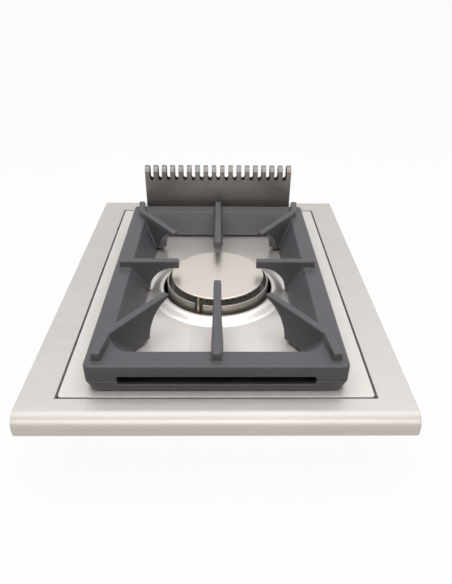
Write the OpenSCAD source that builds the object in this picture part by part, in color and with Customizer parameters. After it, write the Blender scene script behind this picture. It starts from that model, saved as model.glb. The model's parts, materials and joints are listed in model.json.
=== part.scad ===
// Drop-in gas burner module for an outdoor kitchen worktop.
// Origin at the centre of the base, +Z up, the rounded nose faces -Y. All sizes in millimetres.
// Heights written "over the worktop" count from the face of the frame, top_h above the base.

/* [Worktop frame] */
// Width of the module
frame_w = 400; // [396:1:440]
// Depth of the module, nose included
frame_d = 525; // [518:1:560]
// Height of the worktop face above the base
top_h = 100; // [97:1:125]
// Sheet thickness of the frame
frame_t = 1.5; // [1:0.1:2]
// Height of the nose and of the turned-down edges
nose_h = 29; // [27:0.5:32]
// Upper radius of the nose
nose_top_r = 13; // [8:0.5:15]
// Lower radius of the nose
nose_low_r = 11; // [6:0.5:12]
// Depth of the end caps behind the front of the nose
nose_cap_d = 26; // [22:0.5:27]
// Width of the strip between the window and each side
side_strip = 36.5; // [33:0.5:42]
// Width of the strip between the window and the front of the nose
front_strip = 28.5; // [27.5:0.5:36]
// Width of the strip behind the window
rear_strip = 32; // [28:0.5:40]
// Height of the lip folded down round the window
window_lip = 11; // [9:0.5:13]
// Width of the flange that rests on the worktop
seat_flange = 15; // [14:0.5:17]
// Depth of the flange folded back under the nose
nose_flange = 8; // [5:0.5:9]
// Width of the foam seal under the frame
seal_w = 4.5; // [3:0.25:5]
// Thickness of the foam seal
seal_h = 3; // [2:0.5:5]

/* [Fixing points] */
// Distance of the fixing holes from the module's sides
fix_edge = 11; // [10:0.5:12]
// Front to back spacing of the fixing holes
fix_pitch = 360; // [300:1:400]
// Radius of the M6 fixing threads
fix_r = 3; // [2.5:0.25:3.5]
// Radius of the collar drawn round each fixing thread
fix_collar_r = 4.5; // [4.25:0.25:5]
// Height of that collar over the flange
fix_collar_h = 5; // [3:0.5:8]

/* [Hob tray] */
// Gap between the tray and the window
tray_gap = 2.5; // [1.5:0.25:4]
// Sheet thickness of the tray
tray_t = 1.2; // [0.8:0.1:1.5]
// Height of the tray's turned-down edge
tray_edge = 10.5; // [9:0.5:12]
// Corner radius of the tray
tray_corner_r = 4; // [2:0.5:8]
// Outer radius of the pressed dome round the burner
dome_r = 88; // [85:0.5:91]
// Radius at which the dome reaches its full height
dome_crest_r = 76; // [74:0.5:79]
// Height of the dome
dome_h = 7; // [4:0.5:9]
// Radius of the hole for the burner
burner_hole_r = 71; // [70:0.25:72]
// Depth of the lip round the burner hole
hole_lip = 3; // [2:0.5:5]
// Thickness of the silicone strip under the tray's edge
tray_seal_h = 2; // [1:0.5:3]
// Width of that strip
tray_seal_w = 6; // [4:0.5:7]

/* [Pan support] */
// Width of the pan support
grate_w = 267; // [260:1:280]
// Gap between the window's front and the pan support
grate_front_gap = 9.7; // [8:0.1:14]
// Height of the pan support's rim over the worktop
rim_h = 34; // [31:0.5:38]
// Height of the lower ring over the worktop
ring_h = 14.8; // [13:0.2:16]
// Width of the flat rim along the sides
rim_side = 21; // [18:0.5:24]
// Width of the flat rim at the front and back
rim_end = 23.5; // [20:0.5:26]
// How far the skirt slopes inwards
skirt_run = 20.4; // [16:0.4:24]
// Height of the skirt's foot over the worktop
skirt_foot = 3.5; // [2:0.5:6]
// Corner radius of the rim's opening
rim_corner_r = 25; // [18:0.5:30]
// Wall thickness of the castings
cast_t = 5.5; // [5:0.5:8]
// Height of the feet under the lower ring
foot_h = 1.5; // [1:0.25:2.5]
// Corner radius of the castings at the parting line
cast_corner_r = 6; // [3:0.5:10]
// Corner radius of the lower ring at its foot
ring_corner_r = 15; // [10:0.5:20]
// Width of the lifting slot
slot_w = 202; // [150:1:220]
// Height of the lifting slot
slot_h = 10; // [8:0.5:12]
// Corner radius of the lifting slot
slot_corner_r = 3; // [2:0.5:4]

/* [Fingers] */
// Rise of the fingers over the rim
finger_rise = 10.6; // [8:0.2:14]
// Width of a finger along its top
finger_top_w = 8.6; // [7:0.2:10]
// Extra width of a finger at the worktop's level, both sides together
finger_draft = 6; // [3:0.5:8]
// Distance of the straight finger tips from the burner axis
tip_r = 50; // [46:0.5:56]
// Distance of the finger ends from the outside of the rim
finger_end = 7; // [4:0.5:10]
// Radius of the arch under the straight fingers
straight_arch_r = 31; // [27:0.5:33]
// Distance from the tip to the centre of the arch, side fingers
side_arch_x = 8; // [4:0.5:12]
// Distance from the tip to the centre of the arch, front and rear fingers
end_arch_x = 36; // [20:1:60]
// Thickness of a corner finger at its tip
corner_tip_h = 5; // [4:0.2:7]
// Radius of the arch under the corner fingers
corner_arch_r = 40; // [36:0.5:42]
// Sideways distance of the corner finger tips from the burner axis
corner_tip_x = 60; // [57:0.5:63]
// Lengthways distance of the corner finger tips from the burner axis
corner_tip_y = 78.7; // [76:0.5:82]

/* [Flue cover] */
// Gap between the pan support and the flue cover
flue_gap = 15.3; // [10:0.5:18]
// Width of the flue cover
flue_w = 233; // [225:1:250]
// Depth of the flue cover
flue_d = 17.5; // [15:0.5:20]
// Gap between the flue cover and the window's rear
flue_rear_gap = 27; // [25:0.5:34]
// Height of the flue cover
flue_h = 93; // [80:1:110]
// Number of slots in the comb
comb_slots = 17; // [9:2:17]
// Width of one slot
comb_slot_w = 6; // [4:0.5:7]
// Spacing of the slots
comb_pitch = 13.27; // [12:0.1:13.4]
// Height of the closed part below the slots
comb_root = 71; // [55:1:78]
// Sheet thickness of the flue cover
flue_t = 1.2; // [1:0.1:1.5]
// Height of the tray's collar inside the flue cover
upstand_h = 12; // [6:1:20]

/* [Burner] */
// Radius of the burner cap
cap_r = 60; // [58.5:0.5:62]
// Height of the cap's face over the worktop
cap_h = 24; // [23:0.2:26]
// Thickness of the cap at its edge
cap_t = 2.6; // [2:0.2:3.4]
// Outer radius of the flame spreader
spreader_r = 57.5; // [56.5:0.25:58]
// Wall thickness of the flame spreader
spreader_t = 7.2; // [6.5:0.2:7.6]
// Height of the spreader's seat on the burner body over the worktop
seat_z = 8; // [6:0.5:9]
// Number of flame ports
ports = 44; // [24:1:48]
// Radius of a flame port
port_r = 1.5; // [1:0.1:1.7]
// Outer radius of the steel band round the burner
shroud_r = 66; // [65:0.25:67]
// Thickness of that band
shroud_t = 1.5; // [1:0.1:2]
// Height of the band over the worktop
shroud_h = 16.5; // [14:0.5:18]
// Inner radius of the mixing tube
tube_r = 16; // [14:0.5:18]
// Wall of the mixing tube
tube_t = 3; // [2.5:0.25:4]
// Height of the mixing tube's foot above the base
tube_foot = 20; // [19:0.5:24]
// Height of the primary air windows
window_h = 16; // [12:1:18]
// Width of the primary air windows
window_w = 13; // [9:0.5:14]
// Running clearance of the turning pieces
run_gap = 0.05; // [0.03:0.01:0.08]
// Loose clearance between the stacked burner pieces
stack_gap = 0.3; // [0.2:0.05:0.5]

/* [Gas line] */
// Sideways place of the gas tap
tap_x = 90; // [80:1:100]
// Depth of the tap's axis below the worktop
tap_drop = 47; // [46:1:49]
// Width and height of the tap body
tap_size = 30; // [28:1:34]
// Length of the tap body
tap_l = 48; // [46:1:56]
// Radius of the tap spindle where the knob sits
spindle_r = 4; // [3:0.25:5]
// How much thicker the spindle's radius is behind the knob
spindle_step = 0.75; // [0.5:0.25:1]
// Depth of the flats on the spindle
spindle_flat = 1; // [0.5:0.25:1]
// Length of the knob's seat on the spindle
knob_l = 12; // [10:0.5:14]
// Length of the spindle in front of the casing
spindle_out = 18; // [16:1:24]
// Travel of the spindle when it is pushed
push_travel = 3; // [2:0.5:3]
// Outer radius of the supply pipe
supply_r = 5; // [4:0.5:6]
// Outer radius of the burner pipe
burner_pipe_r = 4; // [3:0.5:5]
// Wall of the pipes
pipe_t = 1; // [0.8:0.1:1.2]
// Radius of the half inch gas thread
inlet_r = 10.48; // [9:0.1:13]
// Length of that thread
inlet_l = 16; // [12:1:20]

/* [Sensors] */
// Distance of both sensors from the burner axis
sensor_r = 66; // [65.5:0.25:66.5]
// Angle of the thermocouple round the burner
thermocouple_a = -110.5; // [-114:0.5:-108]
// Angle of the ignition electrode round the burner
electrode_a = 60; // [55:1:65]
// Radius of the thermocouple's sheath
sheath_r = 2.7; // [2:0.1:3]
// Width of the notches in the band
notch_w = 11; // [9:0.5:12]
// Radius of the thermocouple lead
thermo_lead_r = 1.4; // [1:0.1:1.8]
// Radius of the ignition lead
ignition_lead_r = 2; // [1.5:0.1:2.5]
// Bend radius of both leads
lead_bend = 10; // [8:0.5:12]

/* [Casing] */
// Sheet thickness of the casing pieces
case_t = 1.2; // [1:0.1:1.5]
// Gap between the window and the pan's walls
pan_margin = 6; // [5:0.5:7]
// Depth of the upper pan below the worktop
pan_drop = 30; // [28:0.5:32]
// How much narrower the lower casing is than the window, each side
case_inset = 15; // [12:0.5:18]
// Distance from the window's front to the lower casing
case_set = 49; // [46:0.5:54]
// Gap between the lower casing and the flue cover
case_rear_gap = 12; // [9:0.5:18]
// Width of the flange round the top of the lower casing
case_flange = 10; // [8:0.5:10]
// Height of the service plate's turned-up edge
plate_edge = 12; // [10:0.5:16]
// Width of the ledge that carries the tray
ledge_w = 15; // [14:0.5:18]
// Width of the bridge that carries the burner
bridge_w = 60; // [54:1:70]
// Thickness of that bridge
bridge_t = 2.5; // [2:0.5:3.5]
// Radius of the M4 screws
screw_r = 2; // [1.5:0.25:2.25]
// Radius of their heads
screw_head_r = 3.6; // [3:0.1:4]
// Height of their heads
screw_head_h = 2.4; // [2:0.1:3]

/* [Hidden] */
steel = [0.82, 0.80, 0.77];
dark_steel = [0.42, 0.40, 0.38];
iron = [0.30, 0.30, 0.31];
zinc = [0.66, 0.68, 0.70];
brass = [0.76, 0.60, 0.32];
eps = 0.01;

// Edges of the module and of the window
front_y = -frame_d / 2;
rear_y = frame_d / 2;
win_w = frame_w - 2 * side_strip;
win_y0 = front_y + front_strip;
win_y1 = rear_y - rear_strip;
win_d = win_y1 - win_y0;
win_cy = (win_y0 + win_y1) / 2;
seat_h = top_h - nose_h;

// Burner axis, pan support and flue
flue_y0 = win_y1 - flue_rear_gap - flue_d;
flue_cy = flue_y0 + flue_d / 2;
grate_d = flue_y0 - flue_gap - win_y0 - grate_front_gap;
burner_y = win_y0 + grate_front_gap + grate_d / 2;
cast_edge = 1.5;
opening_w = grate_w - 2 * rim_side;
opening_d = grate_d - 2 * rim_end;
opening_foot_r = rim_corner_r / 2;
skirt_t = cast_t * 1.15;
finger_top = rim_h + finger_rise;
finger_foot = skirt_foot + 0.5;
bend_lap = 1.4;
corner_bend = [17.5, 41.9];
corner_end = 12.5;
corner_bend_x = grate_w / 2 - corner_bend[0];
corner_bend_y = grate_d / 2 - corner_bend[1];
corner_end_x = grate_w / 2 - corner_end;
corner_end_y = grate_d / 2 - finger_end;

// Tray and what carries it
tray_w = win_w - 2 * tray_gap;
tray_d = win_d - 2 * tray_gap;
ledge_top = top_h - frame_t - window_lip;
pan_w = win_w + 2 * pan_margin;
pan_d = win_d + 2 * pan_margin;
pan_floor = top_h - pan_drop;
ledge_leg = 10;
collar = [flue_w - 20, flue_d - 5];

// Lower casing
case_w = win_w - 2 * case_inset;
case_y0 = win_y0 + case_set;
case_y1 = flue_y0 - case_rear_gap;
case_d = case_y1 - case_y0;
case_cy = (case_y0 + case_y1) / 2;
floor_rim = 7;
case_screw_x = case_w / 2 + case_flange / 2;
case_screw_y = [-0.4 * case_d, 0.12 * case_d, 0.4 * case_d];
service_screw_z = plate_edge / 2 + case_t / 2;
air_slot = [6, 40];
air_slot_pitch = 14;

// Burner stack, heights over the base
tube_or = tube_r + tube_t;
tube_top = top_h - 22;
body_r = spreader_r + 0.5;
body_bore = spreader_r - 3.2;
spreader_bore = spreader_r - spreader_t;
port_z = top_h + cap_h - cap_t - 3.2;
window_edge = 6;
air_z = tube_foot + window_edge;
shutter_t = 2;
shutter_tab = [14, 8, 2];
bridge_z = pan_floor + case_t;
boss_x = 42;
ear_top = top_h - 6;
thermo_foot = ear_top - 8;
spark_foot = ear_top - 10;
thermo_h = 25;
thermo_tip_r = 1.8;
ear_h = 3;
holder_h = 6;
holder_z = tube_foot - holder_h;
inlet_z = holder_z;
holder_arm = [34, 16, 12];
holder_bore = 3;
stiffener_h = 11;

// Tap
tap_z = top_h - tap_drop;
tap_y0 = case_y0 + case_t;
tap_y1 = tap_y0 + tap_l;
chamber_r = 9;
chamber_y0 = tap_y0 + 5.8;
plug_y0 = chamber_y0 + 6;
plug_y1 = tap_y1 - 9.5;
spindle_y1 = plug_y0 + 6;
spring_y1 = plug_y1 - 6;
outlet_y = tap_y0 + 24;
tap_screw_off = tap_size / 2 - 3.8;
tap_screw_l = 7;
bridge_screw_l = 8;
screw_nut = [4, 3.2];
backnut_t = 5;
shank_r = spindle_r + spindle_step;
nut_l = 9;
nut_wall = 4;
pipe_bend = tap_z - tap_size / 2 - nut_l - inlet_z;
neck_r = 8;
supply_y1 = case_y1 - case_t - neck_r;

// Sensors
thermo_x = sensor_r * cos(thermocouple_a);
thermo_y = burner_y + sensor_r * sin(thermocouple_a);
spark_x = sensor_r * cos(electrode_a);
spark_y = burner_y + sensor_r * sin(electrode_a);
lead_z = tap_z + 1;
lead_port_y = tap_y0 + 36;
generator = [60, 34, 28];
generator_x1 = -case_w / 2 + case_t + 22.3 + generator[0];
generator_port_y = case_y1 - case_t - generator[1] / 2;

// Rounded rectangle about the origin
module rrect(w, d, r) {
  square([w - 2 * r, d], center = true);
  square([w, d - 2 * r], center = true);
  for (x = [-1, 1], y = [-1, 1])
    translate([x * (w / 2 - r), y * (d / 2 - r)]) circle(r, $fn = 48);
}

// Rounded rectangular plate with its underside at z
module slab(w, d, r, z, h) {
  translate([0, 0, z]) linear_extrude(h) rrect(w, d, r);
}

// Upright rectangular ring with walls of thickness t, its foot at z
module wall_ring(w, d, t, z, h) {
  translate([0, 0, z]) linear_extrude(h) difference() {
    square([w, d], center = true);
    square([w - 2 * t, d - 2 * t], center = true);
  }
}

// Extrudes a (y, z) outline along X from x0
module along_x(x0, l) {
  translate([x0, 0, 0]) rotate([90, 0, 90]) linear_extrude(l) children();
}

// Extrudes an (x, z) outline along +Y from y0
module along_y(y0, l) {
  translate([0, y0 + l, 0]) rotate([90, 0, 0]) linear_extrude(l) children();
}

// Round bar between two points
module bar(a, b, r) {
  d = b - a;
  l = norm(d);
  translate(a) rotate([0, acos(d[2] / l), atan2(d[1], d[0])]) cylinder(h = l, r = r, $fn = 32);
}

// Quarter bend of a round bar at a corner, running in along u and out along v
module bend(corner, u, v, bend_r, r) {
  c = corner - u * bend_r + v * bend_r;
  n = cross(u, v);
  multmatrix([[-v[0], u[0], n[0], c[0]], [-v[1], u[1], n[1], c[1]], [-v[2], u[2], n[2], c[2]],
      [0, 0, 0, 1]])
    rotate_extrude(angle = 90, $fn = 48) translate([bend_r, 0]) circle(r, $fn = 24);
}

// Round bar along points, with a quarter bend at each inner one
module bent_bar(p, bend_r, r) {
  n = len(p) - 1;
  for (i = [0 : n - 1]) {
    u = (p[i + 1] - p[i]) / norm(p[i + 1] - p[i]);
    a = i == 0 ? p[i] : p[i] + u * bend_r;
    b = i == n - 1 ? p[i + 1] : p[i + 1] - u * bend_r;
    if (norm(b - a) > eps) bar(a, b, r);
  }
  for (i = [1 : n - 1])
    bend(p[i], (p[i] - p[i - 1]) / norm(p[i] - p[i - 1]), (p[i + 1] - p[i]) / norm(p[i + 1] - p[i]),
      bend_r, r);
}

// Filled side outline of the nose in (y, z), set in from its outer face by o
module nose_outline(o, y_end) {
  translate([front_y + o, seat_h + nose_low_r])
    square([y_end - front_y - o, nose_h - nose_low_r - nose_top_r]);
  translate([front_y + nose_top_r, top_h - nose_top_r - eps])
    square([y_end - front_y - nose_top_r, nose_top_r - o + eps]);
  translate([front_y + nose_low_r, seat_h + o])
    square([y_end - front_y - nose_low_r, nose_low_r - o + eps]);
  translate([front_y + nose_top_r, top_h - nose_top_r]) circle(nose_top_r - o, $fn = 64);
  translate([front_y + nose_low_r, seat_h + nose_low_r]) circle(nose_low_r - o, $fn = 64);
}

module fixing_points() {
  for (x = [-1, 1], y = [-1, 1])
    translate([x * (frame_w / 2 - fix_edge), y * fix_pitch / 2, seat_h]) children();
}

module worktop_frame() {
  nose_w = frame_w - 2 * frame_t;
  cap_y = front_y + nose_cap_d;
  flange_y = front_y + nose_low_r + nose_flange;
  color(steel) difference() {
    union() {
      along_x(-nose_w / 2, nose_w) difference() {
        nose_outline(0, cap_y);
        nose_outline(frame_t, cap_y + 1);
        translate([flange_y, seat_h - 1]) square([nose_cap_d, frame_t + 2]);
      }
      translate([-frame_w / 2, cap_y - eps, top_h - frame_t])
        cube([frame_w, rear_y - cap_y + eps, frame_t]);
      for (x = [-frame_w / 2, frame_w / 2 - frame_t])
        translate([x, cap_y, seat_h]) cube([frame_t, rear_y - cap_y, nose_h]);
      for (x = [-frame_w / 2 + frame_t, frame_w / 2 - seat_flange])
        translate([x - eps, flange_y - eps, seat_h])
          cube([seat_flange - frame_t + 2 * eps, rear_y - flange_y, frame_t]);
      translate([-frame_w / 2, rear_y - frame_t, seat_h]) cube([frame_w, frame_t, nose_h]);
      translate([-nose_w / 2, rear_y - seat_flange, seat_h]) cube([nose_w, seat_flange, frame_t]);
      translate([0, win_cy, 0])
        wall_ring(win_w + 2 * frame_t, win_d + 2 * frame_t, frame_t, ledge_top, window_lip + eps);
      fixing_points() cylinder(h = fix_collar_h, r = fix_collar_r, $fn = 32);
    }
    translate([-win_w / 2, win_y0, ledge_top - 1]) cube([win_w, win_d, window_lip + 10]);
    fixing_points() translate([0, 0, -1]) cylinder(h = fix_collar_h + 2, r = fix_r, $fn = 48);
  }
}

module nose_end_caps() {
  color(steel) for (x = [-frame_w / 2, frame_w / 2 - frame_t])
    along_x(x, frame_t) nose_outline(0, front_y + nose_cap_d);
}

module worktop_seal() {
  y0 = front_y + nose_low_r + 1;
  y1 = rear_y - frame_t;
  color("dimgray") translate([0, (y0 + y1) / 2, 0])
    wall_ring(frame_w - 2 * frame_t, y1 - y0, seal_w, seat_h - seal_h, seal_h);
}

// Screws that hang the lower casing under the pan
module case_screw_places() {
  for (x = [-1, 1], y = case_screw_y) translate([x * case_screw_x, case_cy + y, 0]) children();
}

// Screws that hold the bridge on the pan's floor
module bridge_screw_places() {
  for (x = [-1, 1], y = [-1, 1])
    translate([x * (case_w / 2 + case_flange + 5), burner_y + y * (bridge_w / 2 - 9), 0]) children();
}

module upper_pan() {
  flange = 6;
  duct_hole = [flue_w - 27, flue_d - 7.5];
  color(zinc) difference() {
    union() {
      translate([0, win_cy, 0]) wall_ring(pan_w, pan_d, case_t, pan_floor, pan_drop - frame_t);
      translate([0, win_cy, 0])
        wall_ring(pan_w + 2 * flange, pan_d + 2 * flange, flange + case_t,
          top_h - frame_t - case_t, case_t);
      translate([-pan_w / 2, win_cy - pan_d / 2, pan_floor]) cube([pan_w, pan_d, case_t]);
    }
    translate([-case_w / 2 + floor_rim, case_y0 + floor_rim, pan_floor - 1])
      cube([case_w - 2 * floor_rim, case_d - 2 * floor_rim, case_t + 2]);
    translate([-duct_hole[0] / 2, flue_cy - duct_hole[1] / 2, pan_floor - 1])
      cube([duct_hole[0], duct_hole[1], case_t + 2]);
    case_screw_places() cylinder(h = top_h, r = screw_r, $fn = 24);
    bridge_screw_places() cylinder(h = top_h, r = screw_r, $fn = 24);
  }
}

module tray_ledge() {
  color(zinc) translate([0, win_cy, 0]) {
    in_w = pan_w - 2 * case_t;
    in_d = pan_d - 2 * case_t;
    wall_ring(in_w, in_d, ledge_w, ledge_top - case_t, case_t);
    wall_ring(in_w, in_d, case_t, ledge_top - ledge_leg, ledge_leg);
  }
}

module tray_seal() {
  color("firebrick") translate([0, win_cy, 0])
    wall_ring(tray_w - 1, tray_d - 1, tray_seal_w, ledge_top, top_h - tray_edge - ledge_top);
}

module flue_duct() {
  duct = [flue_w - 17, flue_d - 0.5];
  color(zinc) translate([0, flue_cy, 0]) {
    wall_ring(duct[0], duct[1], case_t, bridge_z, pan_drop - case_t - tray_t - 1.8);
    wall_ring(duct[0] + 12, duct[1] + 12, 6 + case_t, bridge_z, case_t);
  }
}

module lower_casing() {
  color(zinc) difference() {
    union() {
      translate([0, case_cy, 0]) wall_ring(case_w, case_d, case_t, 0, pan_floor);
      translate([0, case_cy, 0])
        wall_ring(case_w + 2 * case_flange, case_d + 2 * case_flange, case_flange + case_t,
          pan_floor - case_t, case_t);
    }
    // air slots along both sides
    for (i = [-4 : 4])
      translate([-case_w / 2 - 1, case_cy + i * 32 - 9, pan_floor - 24]) cube([case_w + 2, 18, 5]);
    along_y(case_y0 - 1, case_t + 2) translate([tap_x, tap_z]) circle(shank_r + 2, $fn = 32);
    along_y(case_y1 - case_t - 1, case_t + 2) translate([tap_x, tap_z])
      circle(neck_r + 0.2, $fn = 32);
    case_screw_places() translate([0, 0, pan_floor - 5]) cylinder(h = 10, r = screw_r, $fn = 24);
    tap_screw_places() translate([0, -1, 0]) rotate([-90, 0, 0])
      cylinder(h = case_t + 2, r = screw_r, $fn = 24);
    service_screw_places() rotate([0, 90, 0])
      translate([0, 0, -2]) cylinder(h = 4, r = screw_r, $fn = 24);
  }
}

// Side screws of the service plate, each place on the outer face of the casing
module service_screw_places() {
  for (x = [0, 1], y = [-1, 1])
    translate([0, case_cy + y * case_d * 0.35, service_screw_z]) mirror([x, 0, 0])
      translate([case_w / 2, 0, 0]) children();
}

module service_plate() {
  play = 0.4;
  w = case_w - 2 * case_t - play;
  d = case_d - 2 * case_t - play;
  color(zinc) difference() {
    union() {
      translate([-w / 2, case_cy - d / 2, 0]) cube([w, d, case_t]);
      translate([0, case_cy, 0]) wall_ring(w, d, case_t, 0, plate_edge);
    }
    // air slots under the burner
    for (i = [-3 : 3])
      translate([i * air_slot_pitch - air_slot[0] / 2, burner_y - 70, -1])
        cube([air_slot[0], air_slot[1], case_t + 2]);
    service_screw_places() translate([-4, 0, 0]) rotate([0, 90, 0])
      cylinder(h = 6, r = screw_r, $fn = 24);
  }
}

// Pan head screw pointing along +Z, the underside of its head at the origin
module screw(l) {
  translate([0, 0, -screw_head_h]) cylinder(h = screw_head_h, r = screw_head_r, $fn = 32);
  cylinder(h = l, r = screw_r, $fn = 24);
}

module casing_screws() {
  color(zinc) case_screw_places() translate([0, 0, pan_floor - case_t]) screw(6);
}

module service_screws() {
  color(zinc) service_screw_places() rotate([0, -90, 0]) screw(4);
}

// Height of the dome over the worktop at radius r, a smooth step up to its crest
function dome_step(r) = let (t = max(0, min(1, (dome_r - r) / (dome_r - dome_crest_r))))
  dome_h * t * t * (3 - 2 * t);

module hob_tray() {
  rise = [for (i = [0 : 12]) dome_r - i * (dome_r - dome_crest_r) / 12];
  color(steel) {
    difference() {
      translate([0, win_cy, 0]) slab(tray_w, tray_d, tray_corner_r, top_h - tray_t, tray_t);
      translate([0, burner_y, 0]) cylinder(h = 2 * top_h, r = dome_r, $fn = 128);
      translate([-collar[0] / 2, flue_cy - collar[1] / 2, top_h - 5])
        cube([collar[0], collar[1], 10]);
    }
    translate([0, burner_y, top_h]) rotate_extrude($fn = 128) {
      polygon(concat([for (r = rise) [r, dome_step(r)]], [for (i = [12 : -1 : 0]) [rise[i],
        dome_step(rise[i]) - tray_t]]));
      translate([burner_hole_r, dome_h - tray_t]) square([dome_crest_r - burner_hole_r, tray_t]);
      translate([burner_hole_r, dome_h - hole_lip]) square([tray_t, hole_lip]);
    }
  }
}

// Edge of the tray, folded down all round
module tray_skirt() {
  color(steel) translate([0, win_cy, top_h - tray_edge]) linear_extrude(tray_edge - tray_t)
    difference() {
      rrect(tray_w, tray_d, tray_corner_r);
      rrect(tray_w - 2 * tray_t, tray_d - 2 * tray_t, tray_corner_r - tray_t);
    }
}

// Collar welded into the tray's slot for the flue
module flue_collar() {
  color(steel) translate([0, flue_cy, 0])
    wall_ring(collar[0], collar[1], tray_t, top_h - tray_t, upstand_h + tray_t);
}

// Filled side outline of the flue cover in (y, z), set in by o
module flue_outline(o) {
  r = flue_d / 2 - o;
  translate([flue_y0 + o, top_h]) square([2 * r, flue_h - flue_d / 2]);
  translate([flue_cy, top_h + flue_h - flue_d / 2]) circle(r, $fn = 64);
}

module flue_cover() {
  first = -(comb_slots - 1) / 2 * comb_pitch;
  color(dark_steel) difference() {
    along_x(-flue_w / 2, flue_w) flue_outline(0);
    along_x(-flue_w / 2 + flue_t, flue_w - 2 * flue_t) {
      flue_outline(flue_t);
      translate([flue_y0 + flue_t, top_h - 1]) square([flue_d - 2 * flue_t, 2]);
    }
    along_y(flue_y0 - 1, flue_d + 2) for (i = [0 : comb_slots - 1])
      translate([first + i * comb_pitch, top_h + comb_root + comb_slot_w / 2]) {
        circle(comb_slot_w / 2, $fn = 32);
        translate([-comb_slot_w / 2, 0]) square([comb_slot_w, flue_h]);
      }
  }
}

// Slots for lifting, half in each casting, through the front and rear walls only
module lifting_slots() {
  depth = cast_t + 4;
  for (y = [burner_y - grate_d / 2 - 1, burner_y + grate_d / 2 + 1 - depth])
    along_y(y, depth) translate([0, top_h + ring_h]) rrect(slot_w, slot_h, slot_corner_r);
}

module grate_base() {
  z0 = top_h + foot_h;
  wall = cast_t + 1.5;
  flange_in = 18;
  color(iron) difference() {
    union() {
      translate([0, burner_y, 0]) difference() {
        hull() {
          slab(grate_w - 2, grate_d - 2, ring_corner_r, z0, eps);
          slab(grate_w, grate_d, cast_corner_r, top_h + ring_h - 1.5, 1.5);
        }
        slab(grate_w - 2 * wall, grate_d - 2 * wall, cast_corner_r, z0 + cast_t, ring_h);
        slab(grate_w - 2 * flange_in, grate_d - 2 * flange_in, rim_corner_r / 2, z0 - 1, ring_h);
      }
      for (x = [-1, 1], y = [-1, 1])
        translate([x * (grate_w / 2 - 14), burner_y + y * (grate_d / 2 - 14), top_h])
          cylinder(h = foot_h + 1, r = 10, $fn = 48);
    }
    lifting_slots();
  }
}

// Section of the sloping skirt at height z over the worktop, grown by o on every side
module skirt_section(o, z) {
  t = (rim_h - z) / (rim_h - skirt_foot);
  grow = 2 * o - 2 * skirt_run * t;
  slab(opening_w + grow, opening_d + grow, rim_corner_r + (opening_foot_r - rim_corner_r) * t + o,
    top_h + z, eps);
}

// Solid inside the skirt between two heights, grown by o
module funnel(o, z_low, z_high) {
  hull() {
    skirt_section(o, z_low);
    skirt_section(o, z_high);
  }
}

// Cross-section of a finger in (width, height), drawn wider towards its foot
module finger_section() {
  half = finger_top_w / 2;
  low = half + finger_draft / 2;
  polygon([[-half + 0.8, finger_top], [half - 0.8, finger_top], [half, finger_top - 0.8],
    [low, 0], [-low, 0], [-half, finger_top - 0.8]]);
}

// Finger along +X from its tip at the origin; tip_h is the height of the tip's end face
module finger(l, arch_x, arch_r, tip_h) {
  translate([0, 0, top_h]) intersection() {
    rotate([90, 0, 90]) linear_extrude(l) finger_section();
    translate([0, 20, 0]) rotate([90, 0, 0]) linear_extrude(40) difference() {
      translate([0, finger_foot]) square([l, finger_top - finger_foot]);
      translate([arch_x, finger_top - tip_h - arch_r]) circle(arch_r, $fn = 96);
      translate([-1, -1]) square([max(arch_x, 0) + 1, finger_top - tip_h + 1]);
    }
  }
}

module straight_fingers() {
  side_l = grate_w / 2 - finger_end - tip_r;
  end_l = grate_d / 2 - finger_end - tip_r;
  for (a = [0, 180]) rotate([0, 0, a]) translate([tip_r, 0, 0])
    finger(side_l, side_arch_x, straight_arch_r, finger_rise);
  for (a = [90, 270]) rotate([0, 0, a]) translate([tip_r, 0, 0])
    finger(end_l, end_arch_x, straight_arch_r, finger_rise);
}

// One corner finger: a straight run from its tip to the bend, and a run out to its end
module corner_finger() {
  dx = corner_bend_x - corner_tip_x;
  dy = corner_bend_y - corner_tip_y;
  ex = corner_end_x - corner_bend_x;
  ey = corner_end_y - corner_bend_y;
  translate([corner_tip_x, corner_tip_y, 0]) rotate([0, 0, atan2(dy, dx)])
    finger(norm([dx, dy]) + bend_lap, -1.5, corner_arch_r, corner_tip_h);
  translate([corner_bend_x, corner_bend_y, top_h]) rotate([0, 0, atan2(ey, ex)])
    translate([-bend_lap, 0, 0]) rotate([90, 0, 90]) linear_extrude(norm([ex, ey]) + bend_lap)
      intersection() {
        finger_section();
        translate([-20, rim_h - 2]) square([40, finger_rise + 2]);
      }
}

// Rim of the pan support: an outer wall, hollow from below, and a sloping skirt inside it
module grate() {
  color(iron) difference() {
    translate([0, burner_y, 0]) difference() {
      union() {
        difference() {
          hull() {
            slab(grate_w, grate_d, cast_corner_r, top_h + ring_h, rim_h - ring_h - cast_edge);
            slab(grate_w - 2 * cast_edge, grate_d - 2 * cast_edge, cast_corner_r - cast_edge,
              top_h + rim_h - eps, eps);
          }
          slab(grate_w - 2 * cast_t, grate_d - 2 * cast_t, cast_corner_r, top_h, rim_h - cast_t);
        }
        funnel(skirt_t, skirt_foot, rim_h - cast_t / 2);
      }
      funnel(0, skirt_foot - 1, rim_h + 1);
    }
    lifting_slots();
  }
}

// Fingers of the pan support, cast in one with its rim: they end at the skirt and on the rim
module grate_fingers() {
  color(iron) translate([0, burner_y, 0]) intersection() {
    union() {
      straight_fingers();
      for (x = [0, 1], y = [0, 1]) mirror([x, 0, 0]) mirror([0, y, 0]) corner_finger();
    }
    union() {
      funnel(0, skirt_foot - 1, rim_h + 1);
      slab(grate_w, grate_d, cast_corner_r, top_h + rim_h, finger_rise + cast_t);
    }
  }
}

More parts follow.
